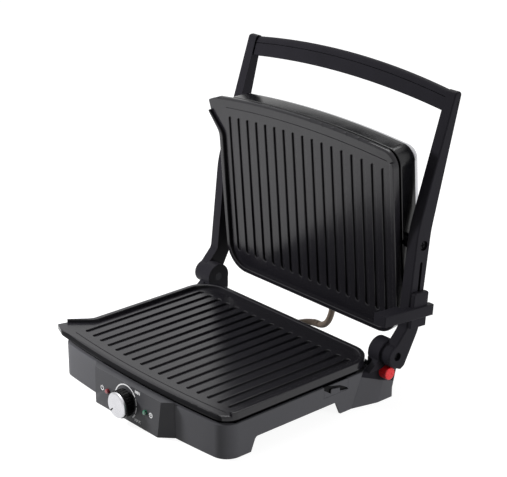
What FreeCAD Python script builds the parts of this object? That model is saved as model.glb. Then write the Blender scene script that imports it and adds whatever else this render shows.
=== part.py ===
import FreeCAD, Part
import math
import os
import Sketcher
from FreeCAD import Placement, Rotation, Vector

# Driving dimensions in millimetres and degrees, front towards -Y, floor at z = 0

SIZES = {
    # whole frame
    "shift_x": -4.25, "shift_y": -37.99, "overrun": 2.0, "fit_gap": 0.3, "running_gap": 0.05,
    # shared plan of plate, base and lid
    "plan_half": 147.0, "plan_rear": 116.0, "plan_corner": 107.5, "bow_radius": 1275.4,
    "front_corner_radius": 20.0, "rear_corner_radius": 33.0, "clip": 15.0,
    # cooking plates
    "land_level": 51.0, "rim_rise": 4.0, "rim_drop": 5.0, "rim_width": 6.0,
    "skirt_inset": 8.0, "skirt_wall": 4.0, "skirt_depth": 10.0, "plate_floor": 6.0,
    "groove_pitch": 16.0, "groove_half": 3.2, "groove_depth": 2.0, "groove_edge": 0.9,
    "groove_rear": 91.0, "groove_front": 93.0, "groove_bow": 6.8, "groove_last_x": 128.0,
    "apron_line_back": 11.0, "apron_line_width": 1.0, "apron_line_depth": 0.7,
    "apron_line_half": 134.0, "front_edge_radius": 3.0, "rim_edge_radius": 1.2,
    "spout_root_y": 63.0, "spout_back_x": 163.0, "spout_back_y": 84.0,
    "spout_tip_x": 167.0, "spout_tip_y": 100.0, "spout_lip": 4.0, "spout_root_radius": 16.0,
    "spout_tip_radius": 2.5,
    # base housing
    "base_rear": 121.0, "base_bottom": 0.8, "base_top": 41.0, "base_wall": 3.0,
    "base_rear_radius": 12.0, "ledge_top": 36.0, "ledge_thick": 3.0, "ledge_inset": 23.0,
    "arch_top": 17.0, "arch_front": 66.0, "arch_front_foot": 74.0, "arch_rear": 52.6,
    "arch_rear_foot": 60.8, "arch_radius": 5.0, "heel_front": 98.6, "heel_rise": 9.0,
    "window_half": 50.0, "window_low": 8.0, "window_high": 33.0, "window_run": 12.0,
    "base_edge_radius": 1.2,
    # feet and bottom cover
    "foot_radius": 8.0, "foot_height": 3.0, "foot_edge": 0.8, "foot_x": 128.0,
    "front_foot_y": 87.5, "rear_foot_y": 80.0, "pad_half": 9.5, "pad_reach": 16.5, "pad_top": 8.0,
    "cover_low": 17.2, "cover_thick": 2.5, "cover_half": 143.6, "cover_front": 94.0,
    "cover_rear": 117.6, "cover_radius": 21.0, "post_radius": 4.0, "post_x": 133.0,
    "post_front_y": 62.0, "post_rear_y": 62.0, "screw_radius": 1.5, "screw_head_radius": 3.2,
    "screw_head": 1.8, "screw_grip": 9.0, "vent_length": 44.0, "vent_half": 2.0,
    "vent_pitch": 12.0,
    # control panel
    "panel_front": 127.8, "panel_top": 43.4, "panel_top_front": 124.6, "panel_half": 56.0,
    "panel_root_half": 70.0, "panel_root_y": 114.4, "panel_wall": 3.0, "panel_inner_front": 122.4,
    "panel_inner_half": 50.0, "panel_edge_radius": 3.0,
    "dial_level": 22.5, "shaft_radius": 3.0, "neck_radius": 4.0, "lamp_x": 34.0, "lamp_radius": 2.8,
    "lamp_flange": 4.2, "lamp_flange_thick": 1.6, "lamp_proud": 1.6, "lamp_dome": 1.3,
    # knob and thermostat
    "knob_radius": 16.0, "knob_back": 127.9, "knob_depth": 10.2, "knob_rib_radius": 0.9,
    "knob_rib_offset": 16.35, "knob_ribs": 28, "knob_rib_run": 8.4, "knob_edge": 0.8,
    "cap_radius": 14.8, "cap_depth": 3.6, "cap_chamfer": 1.3, "mark_half": 0.8, "mark_start": 7.0,
    "mark_end": 13.2, "mark_depth": 0.6, "knob_bore_depth": 8.0, "shaft_back": 108.0,
    "thermostat_half": 12.0, "thermostat_back": 105.0, "thermostat_low": 12.0,
    "thermostat_high": 31.5, "neck_proud": 0.8,
    # hinge
    "hinge_y": 125.0, "hinge_z": 58.0, "knuckle_radius": 16.0, "knuckle_in": 139.0,
    "knuckle_out": 155.6, "pin_radius": 5.0, "pin_sink": 3.5, "pin_edge": 0.8,
    "bracket_side": 147.1, "bracket_step": 42.0, "bracket_rear": 121.2, "bracket_low": 12.0,
    "bracket_back_low": 133.0, "bracket_back_high": 140.5, "bracket_front": 95.0,
    "bracket_nose": 109.0, "bracket_nose_top": 53.0, "shroud_low_front": 77.0,
    "shroud_low_full": 110.0, "shroud_high_front": 96.0, "shroud_high_full": 124.0,
    "shroud_top": 46.0,
    "button_y": 120.5, "button_z": 36.2, "button_radius": 7.5, "button_out": 164.0,
    "button_in": 152.0, "button_floor": 148.4, "button_edge": 1.4, "button_hollow": 5.6,
    "button_skin": 2.0,
    # keeper for the lock bar
    "keeper_front": 34.0, "keeper_rear": 71.0, "keeper_low": 27.5, "keeper_in": 144.4,
    "keeper_out": 149.6, "keeper_gap": 0.2, "keeper_edge": 1.0,
    # arms
    "arm_in": 156.0, "arm_out": 170.0, "arm_top": 349.3, "arm_top_front": 203.0,
    "arm_top_rear": 213.5, "arm_bend_front_y": 151.0, "arm_bend_front_z": 200.0,
    "arm_bend_rear_y": 173.0, "arm_bend_rear_z": 197.0, "arm_low_front_y": 138.0,
    "arm_low_front_z": 87.0, "arm_low_rear_y": 158.5, "arm_low_rear_z": 83.0,
    "boss_radius": 13.4, "boss_start_y": 122.6, "boss_start_z": 71.18, "boss_end_y": 118.3,
    "boss_end_z": 46.38, "heel_y": 131.0, "heel_z": 40.5, "heel_back_y": 137.0,
    "heel_back_z": 44.0, "arm_bend_radius": 110.0, "arm_low_radius": 9.0, "arm_rear_radius": 35.0,
    "arm_heel_radius": 3.0, "arm_top_radius": 4.0, "arm_edge": 1.8, "lid_pivot_y": 161.0,
    "lid_pivot_z": 182.0, "lid_screw_radius": 4.0, "lid_screw_head_radius": 5.4,
    "lid_screw_head": 2.6, "lid_screw_edge": 0.9, "lid_screw_sink": 5.0, "lid_sink_radius": 5.8,
    "slot_low_y": 154.7, "slot_low_z": 124.2, "slot_run": 37.8, "slot_half": 1.9,
    "slot_spare": 0.8, "handle_screw_y": 206.8, "handle_screw_z": 335.5,
    "handle_screw_head": 2.3, "handle_screw_sink": 2.0, "handle_screw_run": 26.0,
    # grip
    "grip_y": 199.5, "grip_z": 326.0, "grip_height": 24.0, "grip_low_radius": 1300.0,
    "grip_top_radius": 1120.0, "grip_face": 2.5, "grip_parting": -2.0, "grip_rear": -8.5,
    "grip_front_edge": 1.6, "grip_back_edge": 4.5,
    # lock slider
    "slider_block_half": 11.5, "slider_block_top": 5.5, "slider_block_low": -11.2,
    "slider_block_out": 175.5, "slider_bar_low": -24.2, "slider_bar_front": -59.0,
    "slider_bar_rear": 19.0, "slider_bar_out": 178.5, "slider_tail_low": -36.2,
    "slider_tail_half": 12.0, "slider_tail_out": 174.5, "slider_nose_in": 161.0,
    "slider_nose_rear": -24.0, "slider_edge": 1.2, "slider_corner": 3.0, "rivet_radius": 1.6,
    "rivet_head_radius": 4.5, "rivet_head": 1.8, "rivet_gap": 0.4, "rivet_skin": 2.0,
    # lid
    "upper_land": 18.0, "lid_frame_top": 8.0, "lid_frame_low": -8.3, "lid_inset": 1.5,
    "lid_boss_radius": 8.0, "lid_boss_root": 141.0, "lid_boss_out": 155.7, "lid_frame_edge": 1.5,
    "dome_low": -28.0, "dome_skin": 1.2, "dome_radius": 15.0, "dome_inset": 2.5,
    # reflectors and heaters
    "tray_thick": 0.8, "tray_flange_inset": 13.5, "tray_drop": 8.0,
    "tray_wall_inset": 25.0,
    "heater_radius": 3.25, "heater_gap": 0.3, "heater_half": 88.0, "heater_front": 62.0,
    "heater_rear": 70.0, "heater_bend": 30.0, "heater_tail_x": 34.0,
    "saddle_x": 60.0, "saddle_run": 170.0, "saddle_width": 6.0, "heater_tail_drop": 11.0,
    "tail_hole_radius": 4.6, "tail_bend": 8.0,
    # wiring
    "terminal_x": 60.0, "terminal_y": 60.0, "terminal_long": 46.0, "terminal_wide": 20.0,
    "terminal_high": 6.0, "terminal_hole": 3.0, "terminal_pitch": 14.0, "terminal_sink": 3.0,
    "gland_x": -98.0, "gland_z": 26.6, "gland_radius": 6.0, "gland_flange": 9.0, "gland_bore": 3.6,
    "gland_proud": 7.0, "gland_flange_thick": 2.5, "gland_neck": 5.0,
    "cable_radius": 3.9, "cable_start_x": -22.0, "cable_z": 28.0, "cable_run_y": 154.0,
    "cable_turn": 12.0, "cable_rise_x": 20.0, "cable_lift_turn": 14.0, "cable_end_v": -119.0,
    "cable_bush_thick": 2.0,
    "cable_bush_neck": 3.0,
}
LID_LEAN = 94.5
SLIDE_LEAN = -5.0
GRIP_LEAN = 71.0
FRONT_TURN = 90.0
POINTER_TURN = -45.0
GROOVE_COUNT = 17
HALF_ROUND = 1
PARTS = "parts"
NEAR = 0.02
EDGE_SPARE = 1.05
VENT_PAIRS = 3
LONG_SHARE = 2.0
BULK_SHARE = 0.01

doc = FreeCAD.newDocument("ElectricGrill")
sheet = doc.addObject("Spreadsheet::Sheet", "sizes")
for row, (alias, number) in enumerate(SIZES.items(), start=1):
    sheet.set(f"A{row}", alias)
    sheet.set(f"B{row}", str(number))
    sheet.setAlias(f"B{row}", alias)
doc.recompute()


class Size:
    """A length with the sheet formula it comes from."""

    def __init__(self, number, text):
        self.number = number
        self.text = text

    def join(self, other, sign, turned=False):
        first, second = (other, self) if turned else (self, other)
        left, right = float(first), float(second)
        results = {"+": left + right, "-": left - right, "*": left * right}
        number = left / right if sign == "/" else results[sign]
        return Size(number, f"({formula(first)} {sign} {formula(second)})")

    def __add__(self, other):
        return self.join(other, "+")

    def __radd__(self, other):
        return self.join(other, "+", True)

    def __sub__(self, other):
        return self.join(other, "-")

    def __rsub__(self, other):
        return self.join(other, "-", True)

    def __mul__(self, other):
        return self.join(other, "*")

    def __rmul__(self, other):
        return self.join(other, "*", True)

    def __truediv__(self, other):
        return self.join(other, "/")

    def __neg__(self):
        return Size(-self.number, f"(-1 * {self.text})")

    def __float__(self):
        return float(self.number)


def formula(value):
    return value.text if isinstance(value, Size) else repr(float(value))


class Sizes:
    """Each alias of the sheet as an attribute."""

    def __getattr__(self, name):
        return Size(float(sheet.get(name)), f"sizes.{name}")


d = Sizes()
made = []


def bind(thing, path, value):
    if isinstance(value, Size):
        thing.setExpression(path, value.text)


def new_body(label):
    body = doc.addObject("PartDesign::Body", label)
    body.Label = label
    made.append(body)
    return body


def settle(piece, place=None):
    """Put a piece where it belongs, with the origin under the middle of the whole object."""
    shift = Placement(Vector(float(d.shift_x), float(d.shift_y), 0), Rotation())
    piece.Placement = shift.multiply(place) if place else shift
    return piece


def lid_place():
    pivot = Vector(0, float(d.lid_pivot_y), float(d.lid_pivot_z))
    return Placement(pivot, Rotation(Vector(1, 0, 0), LID_LEAN))


def origin_item(body, role):
    return [item for item in body.Origin.OriginFeatures if item.Role == role][0]


def arc_between(start, end, radius):
    """A minor arc; a positive radius bulges to the right of the way it is drawn."""
    chord = end - start
    half_chord = chord.Length / 2
    size = max(abs(radius), half_chord)
    offset = math.sqrt(size * size - half_chord * half_chord)
    left = Vector(-chord.y, chord.x, 0).normalize()
    centre = (start + end) * 0.5 + left * math.copysign(offset, radius)
    circle = Part.Circle(centre, Vector(0, 0, 1), size)
    first = math.atan2(start.y - centre.y, start.x - centre.x)
    last = math.atan2(end.y - centre.y, end.x - centre.x)
    if radius > 0:
        return Part.ArcOfCircle(circle, first, last)
    return Part.ArcOfCircle(circle, last, first)


def blank_sketch(body, name, plane, level):
    drawing = body.newObject("Sketcher::SketchObject", name)
    drawing.AttachmentSupport = [(origin_item(body, plane), "")]
    drawing.MapMode = "FlatFace"
    drawing.AttachmentOffset = Placement(Vector(0, 0, float(level)), Rotation())
    bind(drawing, "AttachmentOffset.Base.z", level)
    return drawing


def pin_corner(drawing, edge, place, x, y):
    """Fix one end of an edge at its distances from the origin, driven by the sheet."""
    for kind, value in (("DistanceX", x), ("DistanceY", y)):
        index = drawing.addConstraint(Sketcher.Constraint(kind, -1, 1, edge, place, float(value)))
        bind(drawing, f"Constraints[{index}]", value)


def draw(drawing, outline):
    """Add a closed outline of corners (x, y) or (x, y, radius of the arc to the next corner).

    A plain 1 or -1 in place of the radius makes a half circle between two level corners.
    """
    points = [Vector(float(c[0]), float(c[1]), 0) for c in outline]
    edges = []
    for i, corner in enumerate(outline):
        start, end = points[i], points[(i + 1) % len(points)]
        if len(corner) == 3:
            radius = float(corner[2])
            edge = drawing.addGeometry(arc_between(start, end, radius))
            edges.append((edge, 1, 2) if radius > 0 else (edge, 2, 1))
        else:
            edges.append((drawing.addGeometry(Part.LineSegment(start, end)), 1, 2))
    for i, corner in enumerate(outline):
        edge, first, last = edges[i]
        before, before_first, before_last = edges[i - 1]
        drawing.addConstraint(Sketcher.Constraint("Coincident", before, before_last, edge, first))
        pin_corner(drawing, edge, first, corner[0], corner[1])
        if len(corner) == 3 and not isinstance(corner[2], Size):
            centre = Sketcher.Constraint("DistanceY", -1, 1, edge, 3, float(corner[1]))
            bind(drawing, f"Constraints[{drawing.addConstraint(centre)}]", corner[1])
        elif len(corner) == 3:
            size = corner[2] if float(corner[2]) > 0 else -corner[2]
            index = drawing.addConstraint(Sketcher.Constraint("Radius", edge, float(size)))
            bind(drawing, f"Constraints[{index}]", size)


def draw_circle(drawing, x, y, radius):
    circle = Part.Circle(Vector(float(x), float(y), 0), Vector(0, 0, 1), float(radius))
    edge = drawing.addGeometry(circle)
    pin_corner(drawing, edge, 3, x, y)
    index = drawing.addConstraint(Sketcher.Constraint("Radius", edge, float(radius)))
    bind(drawing, f"Constraints[{index}]", radius)


def checked(feature, grows):
    """Recompute a pad or a cut and make sure that it changed the body the right way."""
    before = feature.BaseFeature.Shape.Volume if feature.BaseFeature else 0
    doc.recompute()
    after = feature.Shape.Volume
    if (after - before) * (1 if grows else -1) <= 0:
        raise ValueError(f"{feature.Label}: volume {before} to {after}")
    return feature


def pad(body, name, drawing, length):
    feature = body.newObject("PartDesign::Pad", name)
    feature.Profile = drawing
    feature.Length = float(length)
    bind(feature, "Length", length)
    return checked(feature, True)


def cut(body, name, drawing, depth):
    """Cut along the plane's normal."""
    feature = body.newObject("PartDesign::Pocket", name)
    feature.Profile = drawing
    feature.Reversed = True
    feature.Length = float(depth)
    bind(feature, "Length", depth)
    return checked(feature, False)


def pad_outline(body, name, plane, level, length, *outlines):
    drawing = blank_sketch(body, f"{name}_sketch", plane, level)
    for outline in outlines:
        draw(drawing, outline)
    return pad(body, name, drawing, length)


def loft_outlines(body, name, plane, *levels):
    """A solid between outlines of as many corners, each given with its level."""
    drawings = []
    for count, (level, outline) in enumerate(levels):
        drawings.append(blank_sketch(body, f"{name}_sketch_{count}", plane, level))
        draw(drawings[count], outline)
    feature = body.newObject("PartDesign::AdditiveLoft", name)
    feature.Profile = drawings[0]
    feature.Sections = drawings[1:]
    feature.Ruled = True
    return checked(feature, True)


def cut_outline(body, name, plane, level, depth, *outlines):
    drawing = blank_sketch(body, f"{name}_sketch", plane, level)
    for outline in outlines:
        draw(drawing, outline)
    return cut(body, name, drawing, depth)


def pad_circles(body, name, plane, level, length, *circles):
    drawing = blank_sketch(body, f"{name}_sketch", plane, level)
    for x, y, radius in circles:
        draw_circle(drawing, x, y, radius)
    return pad(body, name, drawing, length)


def cut_circles(body, name, plane, level, depth, *circles):
    drawing = blank_sketch(body, f"{name}_sketch", plane, level)
    for x, y, radius in circles:
        draw_circle(drawing, x, y, radius)
    return cut(body, name, drawing, depth)


def dress(body, kind, name, value, chosen):
    """Round or chamfer the edges of the body that the test picks."""
    base = body.Tip
    edges = [f"Edge{i}" for i, edge in enumerate(base.Shape.Edges, start=1) if chosen(edge)]
    if not edges:
        raise ValueError(f"{name}: no edge chosen")
    feature = body.newObject(f"PartDesign::{kind}", name)
    feature.Base = (base, edges)
    size = "Radius" if kind == "Fillet" else "Size"
    setattr(feature, size, float(value))
    bind(feature, size, value)
    doc.recompute()
    if not feature.Shape.isValid():
        raise ValueError(f"{name}: not valid")
    return feature


def same(a, b):
    return abs(a - b) < NEAR


def ends(edge):
    return [vertex.Point for vertex in edge.Vertexes]


def upright_at(*points):
    """Edges along Z over one of the plan points."""
    spots = [(float(x), float(y)) for x, y in points]

    def chosen(edge):
        tips = ends(edge)
        if len(tips) != 2 or same(tips[0].z, tips[1].z):
            return False
        return any(all(same(t.x, x) and same(t.y, y) for t in tips) for x, y in spots)
    return chosen


def across_at(*points):
    """Edges along X through one of the (y, z) points."""
    spots = [(float(y), float(z)) for y, z in points]

    def chosen(edge):
        tips = ends(edge)
        if len(tips) != 2 or same(tips[0].x, tips[1].x):
            return False
        return any(all(same(t.y, y) and same(t.z, z) for t in tips) for y, z in spots)
    return chosen


def flat_at(axis, level, also=None):
    """Edges that lie wholly at one level along x, y or z."""
    height = float(level)

    def chosen(edge):
        box = edge.BoundBox
        low, high = getattr(box, f"{axis}Min"), getattr(box, f"{axis}Max")
        if abs(low - height) > NEAR or abs(high - height) > NEAR:
            return False
        return also is None or also(edge)
    return chosen


def middle(edge):
    first, last = edge.ParameterRange
    return edge.valueAt((first + last) / 2)


def rounded_edge(edge):
    return edge.Curve.TypeId == "Part::GeomCircle"


# Plan outlines

def bowed_plan(inset, way, rear=None):
    """The shared plan with its bowed front towards -Y (way 1) or +Y (way -1)."""
    half = d.plan_half - inset
    front = (d.plan_corner - inset) * -way
    back = ((rear or d.plan_rear) - inset) * way
    return [(-half, front, d.bow_radius * way), (half, front), (half, back), (-half, back)]


def clipped_plan(inset, way, rear=None, clip=None):
    """The bowed plan with its corners cut off straight, for hollows inside rounded corners."""
    half = d.plan_half - inset
    front = (d.plan_corner - inset) * -way
    back = ((rear or d.plan_rear) - inset) * way
    cut_off = clip or d.clip
    near, far = front + cut_off * way, back - cut_off * way
    side = half - cut_off
    return [
        (-side, front, d.bow_radius * way), (side, front), (half, near), (half, far),
        (side, back), (-side, back), (-half, far), (-half, near),
    ]


def plan_corners(inset, way, rear=None):
    outline = bowed_plan(inset, way, rear)
    fronts = [corner[:2] for corner in outline[:2]]
    rears = [corner[:2] for corner in outline[2:]]
    return fronts, rears


def spouted_plan(way):
    """The plate's plan: the bowed plan with a grease spout at the front left."""
    front, back = d.plan_corner * -way, d.plan_rear * way
    return [
        (-d.plan_half, front, d.bow_radius * way), (d.plan_half, front),
        (d.plan_half, back), (-d.plan_half, back), (-d.plan_half, d.spout_root_y * -way),
        (-d.spout_back_x, d.spout_back_y * -way), (-d.spout_tip_x, d.spout_tip_y * -way),
    ]


def basin_plan(way):
    """What is cut above the land: open to the front and out through the spout."""
    inner = d.plan_half - d.rim_width
    back = (d.plan_rear - d.rim_width) * way
    beyond = (d.plan_rear + d.plan_corner) * -way
    far = d.spout_tip_x + d.spout_tip_x
    slip = d.spout_lip
    bend = d.rear_corner_radius - d.rim_width
    return [
        (-far, beyond), (inner + inner, beyond),
        (inner + inner, (d.plan_corner - d.front_corner_radius / 2) * -way),
        (inner, (d.plan_corner - d.front_corner_radius / 2) * -way),
        (inner, back - bend * way, bend * way), (inner - bend, back),
        (bend - inner, back, bend * way), (-inner, back - bend * way),
        (-inner, d.spout_root_y * -way), (-d.spout_back_x, (d.spout_back_y + slip) * -way),
        (-far, (d.spout_back_y + slip) * -way),
    ]


def groove_outlines(way):
    outlines = []
    for index in range(GROOVE_COUNT):
        x = d.groove_pitch * (index - (GROOVE_COUNT - 1) / 2)
        share = abs(index - (GROOVE_COUNT - 1) / 2) / ((GROOVE_COUNT - 1) / 2)
        front = (d.groove_front - d.groove_bow * (share * share) - d.groove_half) * -way
        back = (d.groove_rear - d.groove_half) * way
        left, right = x - d.groove_half, x + d.groove_half
        tight = HALF_ROUND * way
        outlines.append([(left, front, tight), (right, front), (right, back, tight), (left, back)])
    return outlines


def apron_line(way):
    front = (d.plan_corner - d.apron_line_back + d.groove_edge) * -way
    back = front + d.apron_line_width * way
    half = d.apron_line_half
    return [(-half, front, d.bow_radius * way), (half, front), (half, back, -d.bow_radius * way),
            (-half, back)]


# Cooking plates

def half_turn_arc(edge):
    return rounded_edge(edge) and same(edge.Curve.Radius, float(d.groove_half))


def make_plate(label, land, way):
    body = new_body(label)
    rim_low = land - d.rim_drop
    skirt_low = rim_low - d.skirt_depth
    plan = spouted_plan(way)
    pad_outline(body, f"{label}_skirt", "XY_Plane", skirt_low, d.skirt_depth,
                bowed_plan(d.skirt_inset, way))
    fronts, rears = plan_corners(d.skirt_inset, way)
    dress(body, "Fillet", f"{label}_skirt_front", d.front_corner_radius, upright_at(*fronts))
    dress(body, "Fillet", f"{label}_skirt_rear", d.rear_corner_radius - d.skirt_inset,
          upright_at(*rears))
    hollow = d.skirt_inset + d.skirt_wall
    cut_outline(body, f"{label}_hollow", "XY_Plane", skirt_low,
                land - d.plate_floor - skirt_low, clipped_plan(hollow, way))
    pad_outline(body, f"{label}_slab", "XY_Plane", rim_low, d.rim_drop + d.rim_rise, plan)
    dress(body, "Fillet", f"{label}_front_corner", d.front_corner_radius,
          upright_at(plan[1][:2]))
    dress(body, "Fillet", f"{label}_rear_corners", d.rear_corner_radius,
          upright_at(plan[2], plan[3]))
    dress(body, "Fillet", f"{label}_spout_root", d.spout_root_radius, upright_at(plan[4]))
    dress(body, "Fillet", f"{label}_spout_tip", d.spout_tip_radius, upright_at(plan[6]))
    basin = basin_plan(way)
    cut_outline(body, f"{label}_basin", "XY_Plane", land, d.rim_rise + d.overrun, basin)
    dress(body, "Fillet", f"{label}_spout_bend", d.spout_root_radius, upright_at(basin[8]))
    cut_outline(body, f"{label}_grooves", "XY_Plane", land - d.groove_depth,
                d.groove_depth + d.overrun, *groove_outlines(way))
    cut_outline(body, f"{label}_apron", "XY_Plane", land - d.apron_line_depth,
                d.apron_line_depth + d.overrun, apron_line(way))
    reach = float(d.groove_front)

    def groove_lip(edge):
        spot = middle(edge)
        inside = abs(spot.y) < reach + NEAR and abs(spot.x) < float(d.groove_last_x) * EDGE_SPARE
        level = same(spot.z, float(land))
        straight = not rounded_edge(edge) and abs(edge.BoundBox.XLength) < NEAR
        return inside and level and (half_turn_arc(edge) or straight)
    dress(body, "Fillet", f"{label}_groove_lips", d.groove_edge, groove_lip)
    return body


def finish_plate(body, label, land, way):
    """Soften the rim and the front edge of a plate."""
    rim_high = land + d.rim_rise

    def long_edge(edge):
        return edge.Length > float(d.rim_width)
    dress(body, "Fillet", f"{label}_rim_edges", d.rim_edge_radius,
          flat_at("Z", rim_high, long_edge))

    def front_edge(edge):
        return rounded_edge(edge) and same(edge.Curve.Radius, float(d.bow_radius)) \
            and middle(edge).y * way < -float(d.plan_corner)
    dress(body, "Fillet", f"{label}_front_edge", d.front_edge_radius, flat_at("Z", land, front_edge))
    return body


def lower_plate():
    body = make_plate("lower_plate", d.land_level, 1)
    return settle(finish_plate(body, "lower_plate", d.land_level, 1))


def upper_plate():
    body = make_plate("upper_plate", d.upper_land, -1)
    finish_plate(body, "upper_plate", d.upper_land, -1)
    return settle(body, lid_place())


# Base

def mirrored(outline):
    """The same outline on the other side of x = 0."""
    flipped = [(-corner[0], *corner[1:]) for corner in outline]
    return flipped[::-1]


def rectangle(left, low, right, high):
    return [(left, low), (right, low), (right, high), (left, high)]


def corner_points(x, front, rear):
    return [(x, -front), (-x, -front), (x, rear), (-x, rear)]


def base_housing():
    body = new_body("base_housing")
    height = d.base_top - d.base_bottom
    pad_outline(body, "base_block", "XY_Plane", d.base_bottom, height, bowed_plan(0, 1, d.base_rear))
    fronts, rears = plan_corners(0, 1, d.base_rear)
    dress(body, "Fillet", "base_front_corners", d.front_corner_radius, upright_at(*fronts))
    dress(body, "Fillet", "base_rear_corners", d.base_rear_radius, upright_at(*rears))
    dress(body, "Fillet", "base_top_edge", d.base_edge_radius, flat_at("Z", d.base_top))
    ledge_low = d.ledge_top - d.ledge_thick
    cut_outline(body, "base_cavity", "XY_Plane", d.base_bottom - d.overrun,
                ledge_low - d.base_bottom + d.overrun,
                clipped_plan(d.base_wall, 1, d.base_rear, d.base_rear_radius))
    cut_outline(body, "base_opening", "XY_Plane", ledge_low - d.overrun,
                d.ledge_thick + d.overrun + d.overrun, clipped_plan(d.ledge_inset, 1))
    cut_outline(body, "base_recess", "XY_Plane", d.ledge_top,
                d.base_top - d.ledge_top + d.overrun,
                clipped_plan(d.base_wall, 1, d.base_rear, d.base_rear_radius))
    arch = [(-d.arch_front_foot, -d.overrun), (d.arch_rear_foot, -d.overrun),
            (d.arch_rear, d.arch_top), (-d.arch_front, d.arch_top)]
    wide = d.plan_half + d.overrun
    cut_outline(body, "base_arch", "YZ_Plane", -wide, wide + wide, arch)
    heel = rectangle(d.heel_front, -d.overrun, d.base_rear + d.overrun, d.heel_rise)
    cut_outline(body, "base_heel", "YZ_Plane", -wide, wide + wide, heel)
    dress(body, "Fillet", "base_arch_bends", d.arch_radius,
          across_at((d.arch_rear, d.arch_top), (-d.arch_front, d.arch_top)))
    window = rectangle(-d.window_half, d.window_low, d.window_half, d.window_high)
    cut_outline(body, "base_window", "XZ_Plane", d.plan_corner - d.overrun,
                d.window_run, window)
    notch = rectangle(d.keeper_front, d.keeper_low, d.keeper_rear, d.base_top + d.overrun)
    cut_outline(body, "base_notch", "YZ_Plane", d.plan_half - d.base_wall - d.overrun,
                d.base_wall + d.overrun + d.overrun, notch)
    pads = []
    for y in (-d.front_foot_y, d.rear_foot_y):
        right = rectangle(d.foot_x - d.pad_half, y - d.pad_half, d.foot_x + d.pad_reach,
                          y + d.pad_half)
        pads += [right, mirrored(right)]
    pad_outline(body, "base_pads", "XY_Plane", d.foot_height, d.pad_top - d.foot_height, *pads)
    posts = corner_points(d.post_x, d.post_front_y, d.post_rear_y)
    above = d.cover_low + d.cover_thick
    pad_circles(body, "base_posts", "XY_Plane", above, ledge_low - above,
                *[(x, y, d.post_radius) for x, y in posts])
    cut_circles(body, "base_pilots", "XY_Plane", above - d.overrun, d.screw_grip + d.overrun,
                *[(x, y, d.screw_radius + d.running_gap) for x, y in posts])
    cut_circles(body, "base_cord_hole", "XZ_Plane", -d.base_rear - d.overrun,
                d.base_wall + d.overrun + d.overrun,
                (d.gland_x, d.gland_z, d.gland_neck + d.running_gap),
                (d.cable_start_x, d.cable_z, d.gland_neck + d.running_gap))
    return settle(body)


def bottom_cover():
    body = new_body("bottom_cover")
    half = d.cover_half
    plan = rectangle(-half, -d.cover_front, half, d.cover_rear)
    pad_outline(body, "cover_sheet", "XY_Plane", d.cover_low, d.cover_thick, plan)
    dress(body, "Fillet", "cover_corners", d.cover_radius, upright_at(*plan))
    posts = corner_points(d.post_x, d.post_front_y, d.post_rear_y)
    cut_circles(body, "cover_holes", "XY_Plane", d.cover_low - d.overrun,
                d.cover_thick + d.overrun + d.overrun,
                *[(x, y, d.screw_radius + d.running_gap) for x, y in posts])
    vents = []
    for step in range(-VENT_PAIRS, VENT_PAIRS + 1):
        y = d.vent_pitch * step
        vents.append(rectangle(-d.vent_length, y - d.vent_half, d.vent_length, y + d.vent_half))
    cut_outline(body, "cover_vents", "XY_Plane", d.cover_low - d.overrun,
                d.cover_thick + d.overrun + d.overrun, *vents)
    return settle(body)


def solid_group(label, shapes):
    """Several equal solids kept as one piece."""
    piece = doc.addObject("Part::Feature", label)
    piece.Label = label
    piece.Shape = Part.makeCompound(shapes)
    made.append(piece)
    return piece


def rod(start, way, length, radius):
    return Part.makeCylinder(float(radius), float(length), start, way)


def at(x, y, z):
    return Vector(float(x), float(y), float(z))


UP = Vector(0, 0, 1)
OUT = Vector(1, 0, 0)
FRONT = Vector(0, -1, 0)
BACK = Vector(0, 1, 0)


def softened(shape, radius, chosen):
    return shape.makeFillet(float(radius), [edge for edge in shape.Edges if chosen(edge)])


def rubber_feet():
    feet = []
    for x, y in corner_points(d.foot_x, d.front_foot_y, d.rear_foot_y):
        foot = rod(at(x, y, 0), UP, d.foot_height, d.foot_radius)
        feet.append(softened(foot, d.foot_edge, flat_at("Z", 0)))
    return settle(solid_group("rubber_feet", feet))


def base_screws():
    screws = []
    low = d.cover_low - d.screw_head
    for x, y in corner_points(d.post_x, d.post_front_y, d.post_rear_y):
        head = rod(at(x, y, low), UP, d.screw_head, d.screw_head_radius)
        shank = rod(at(x, y, d.cover_low), UP, d.cover_thick + d.screw_grip - d.overrun,
                    d.screw_radius)
        screws.append(head.fuse(shank))
    return settle(solid_group("base_screws", screws))


def lock_keeper():
    body = new_body("lock_keeper")
    gap = d.keeper_gap
    face = rectangle(d.keeper_front + gap, d.keeper_low + gap, d.keeper_rear - gap, d.base_top - gap)
    pad_outline(body, "keeper_tab", "YZ_Plane", d.keeper_in, d.keeper_out - d.keeper_in, face)
    dress(body, "Fillet", "keeper_edges", d.keeper_edge, flat_at("X", d.keeper_out))
    return settle(body)


# Control panel

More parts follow.
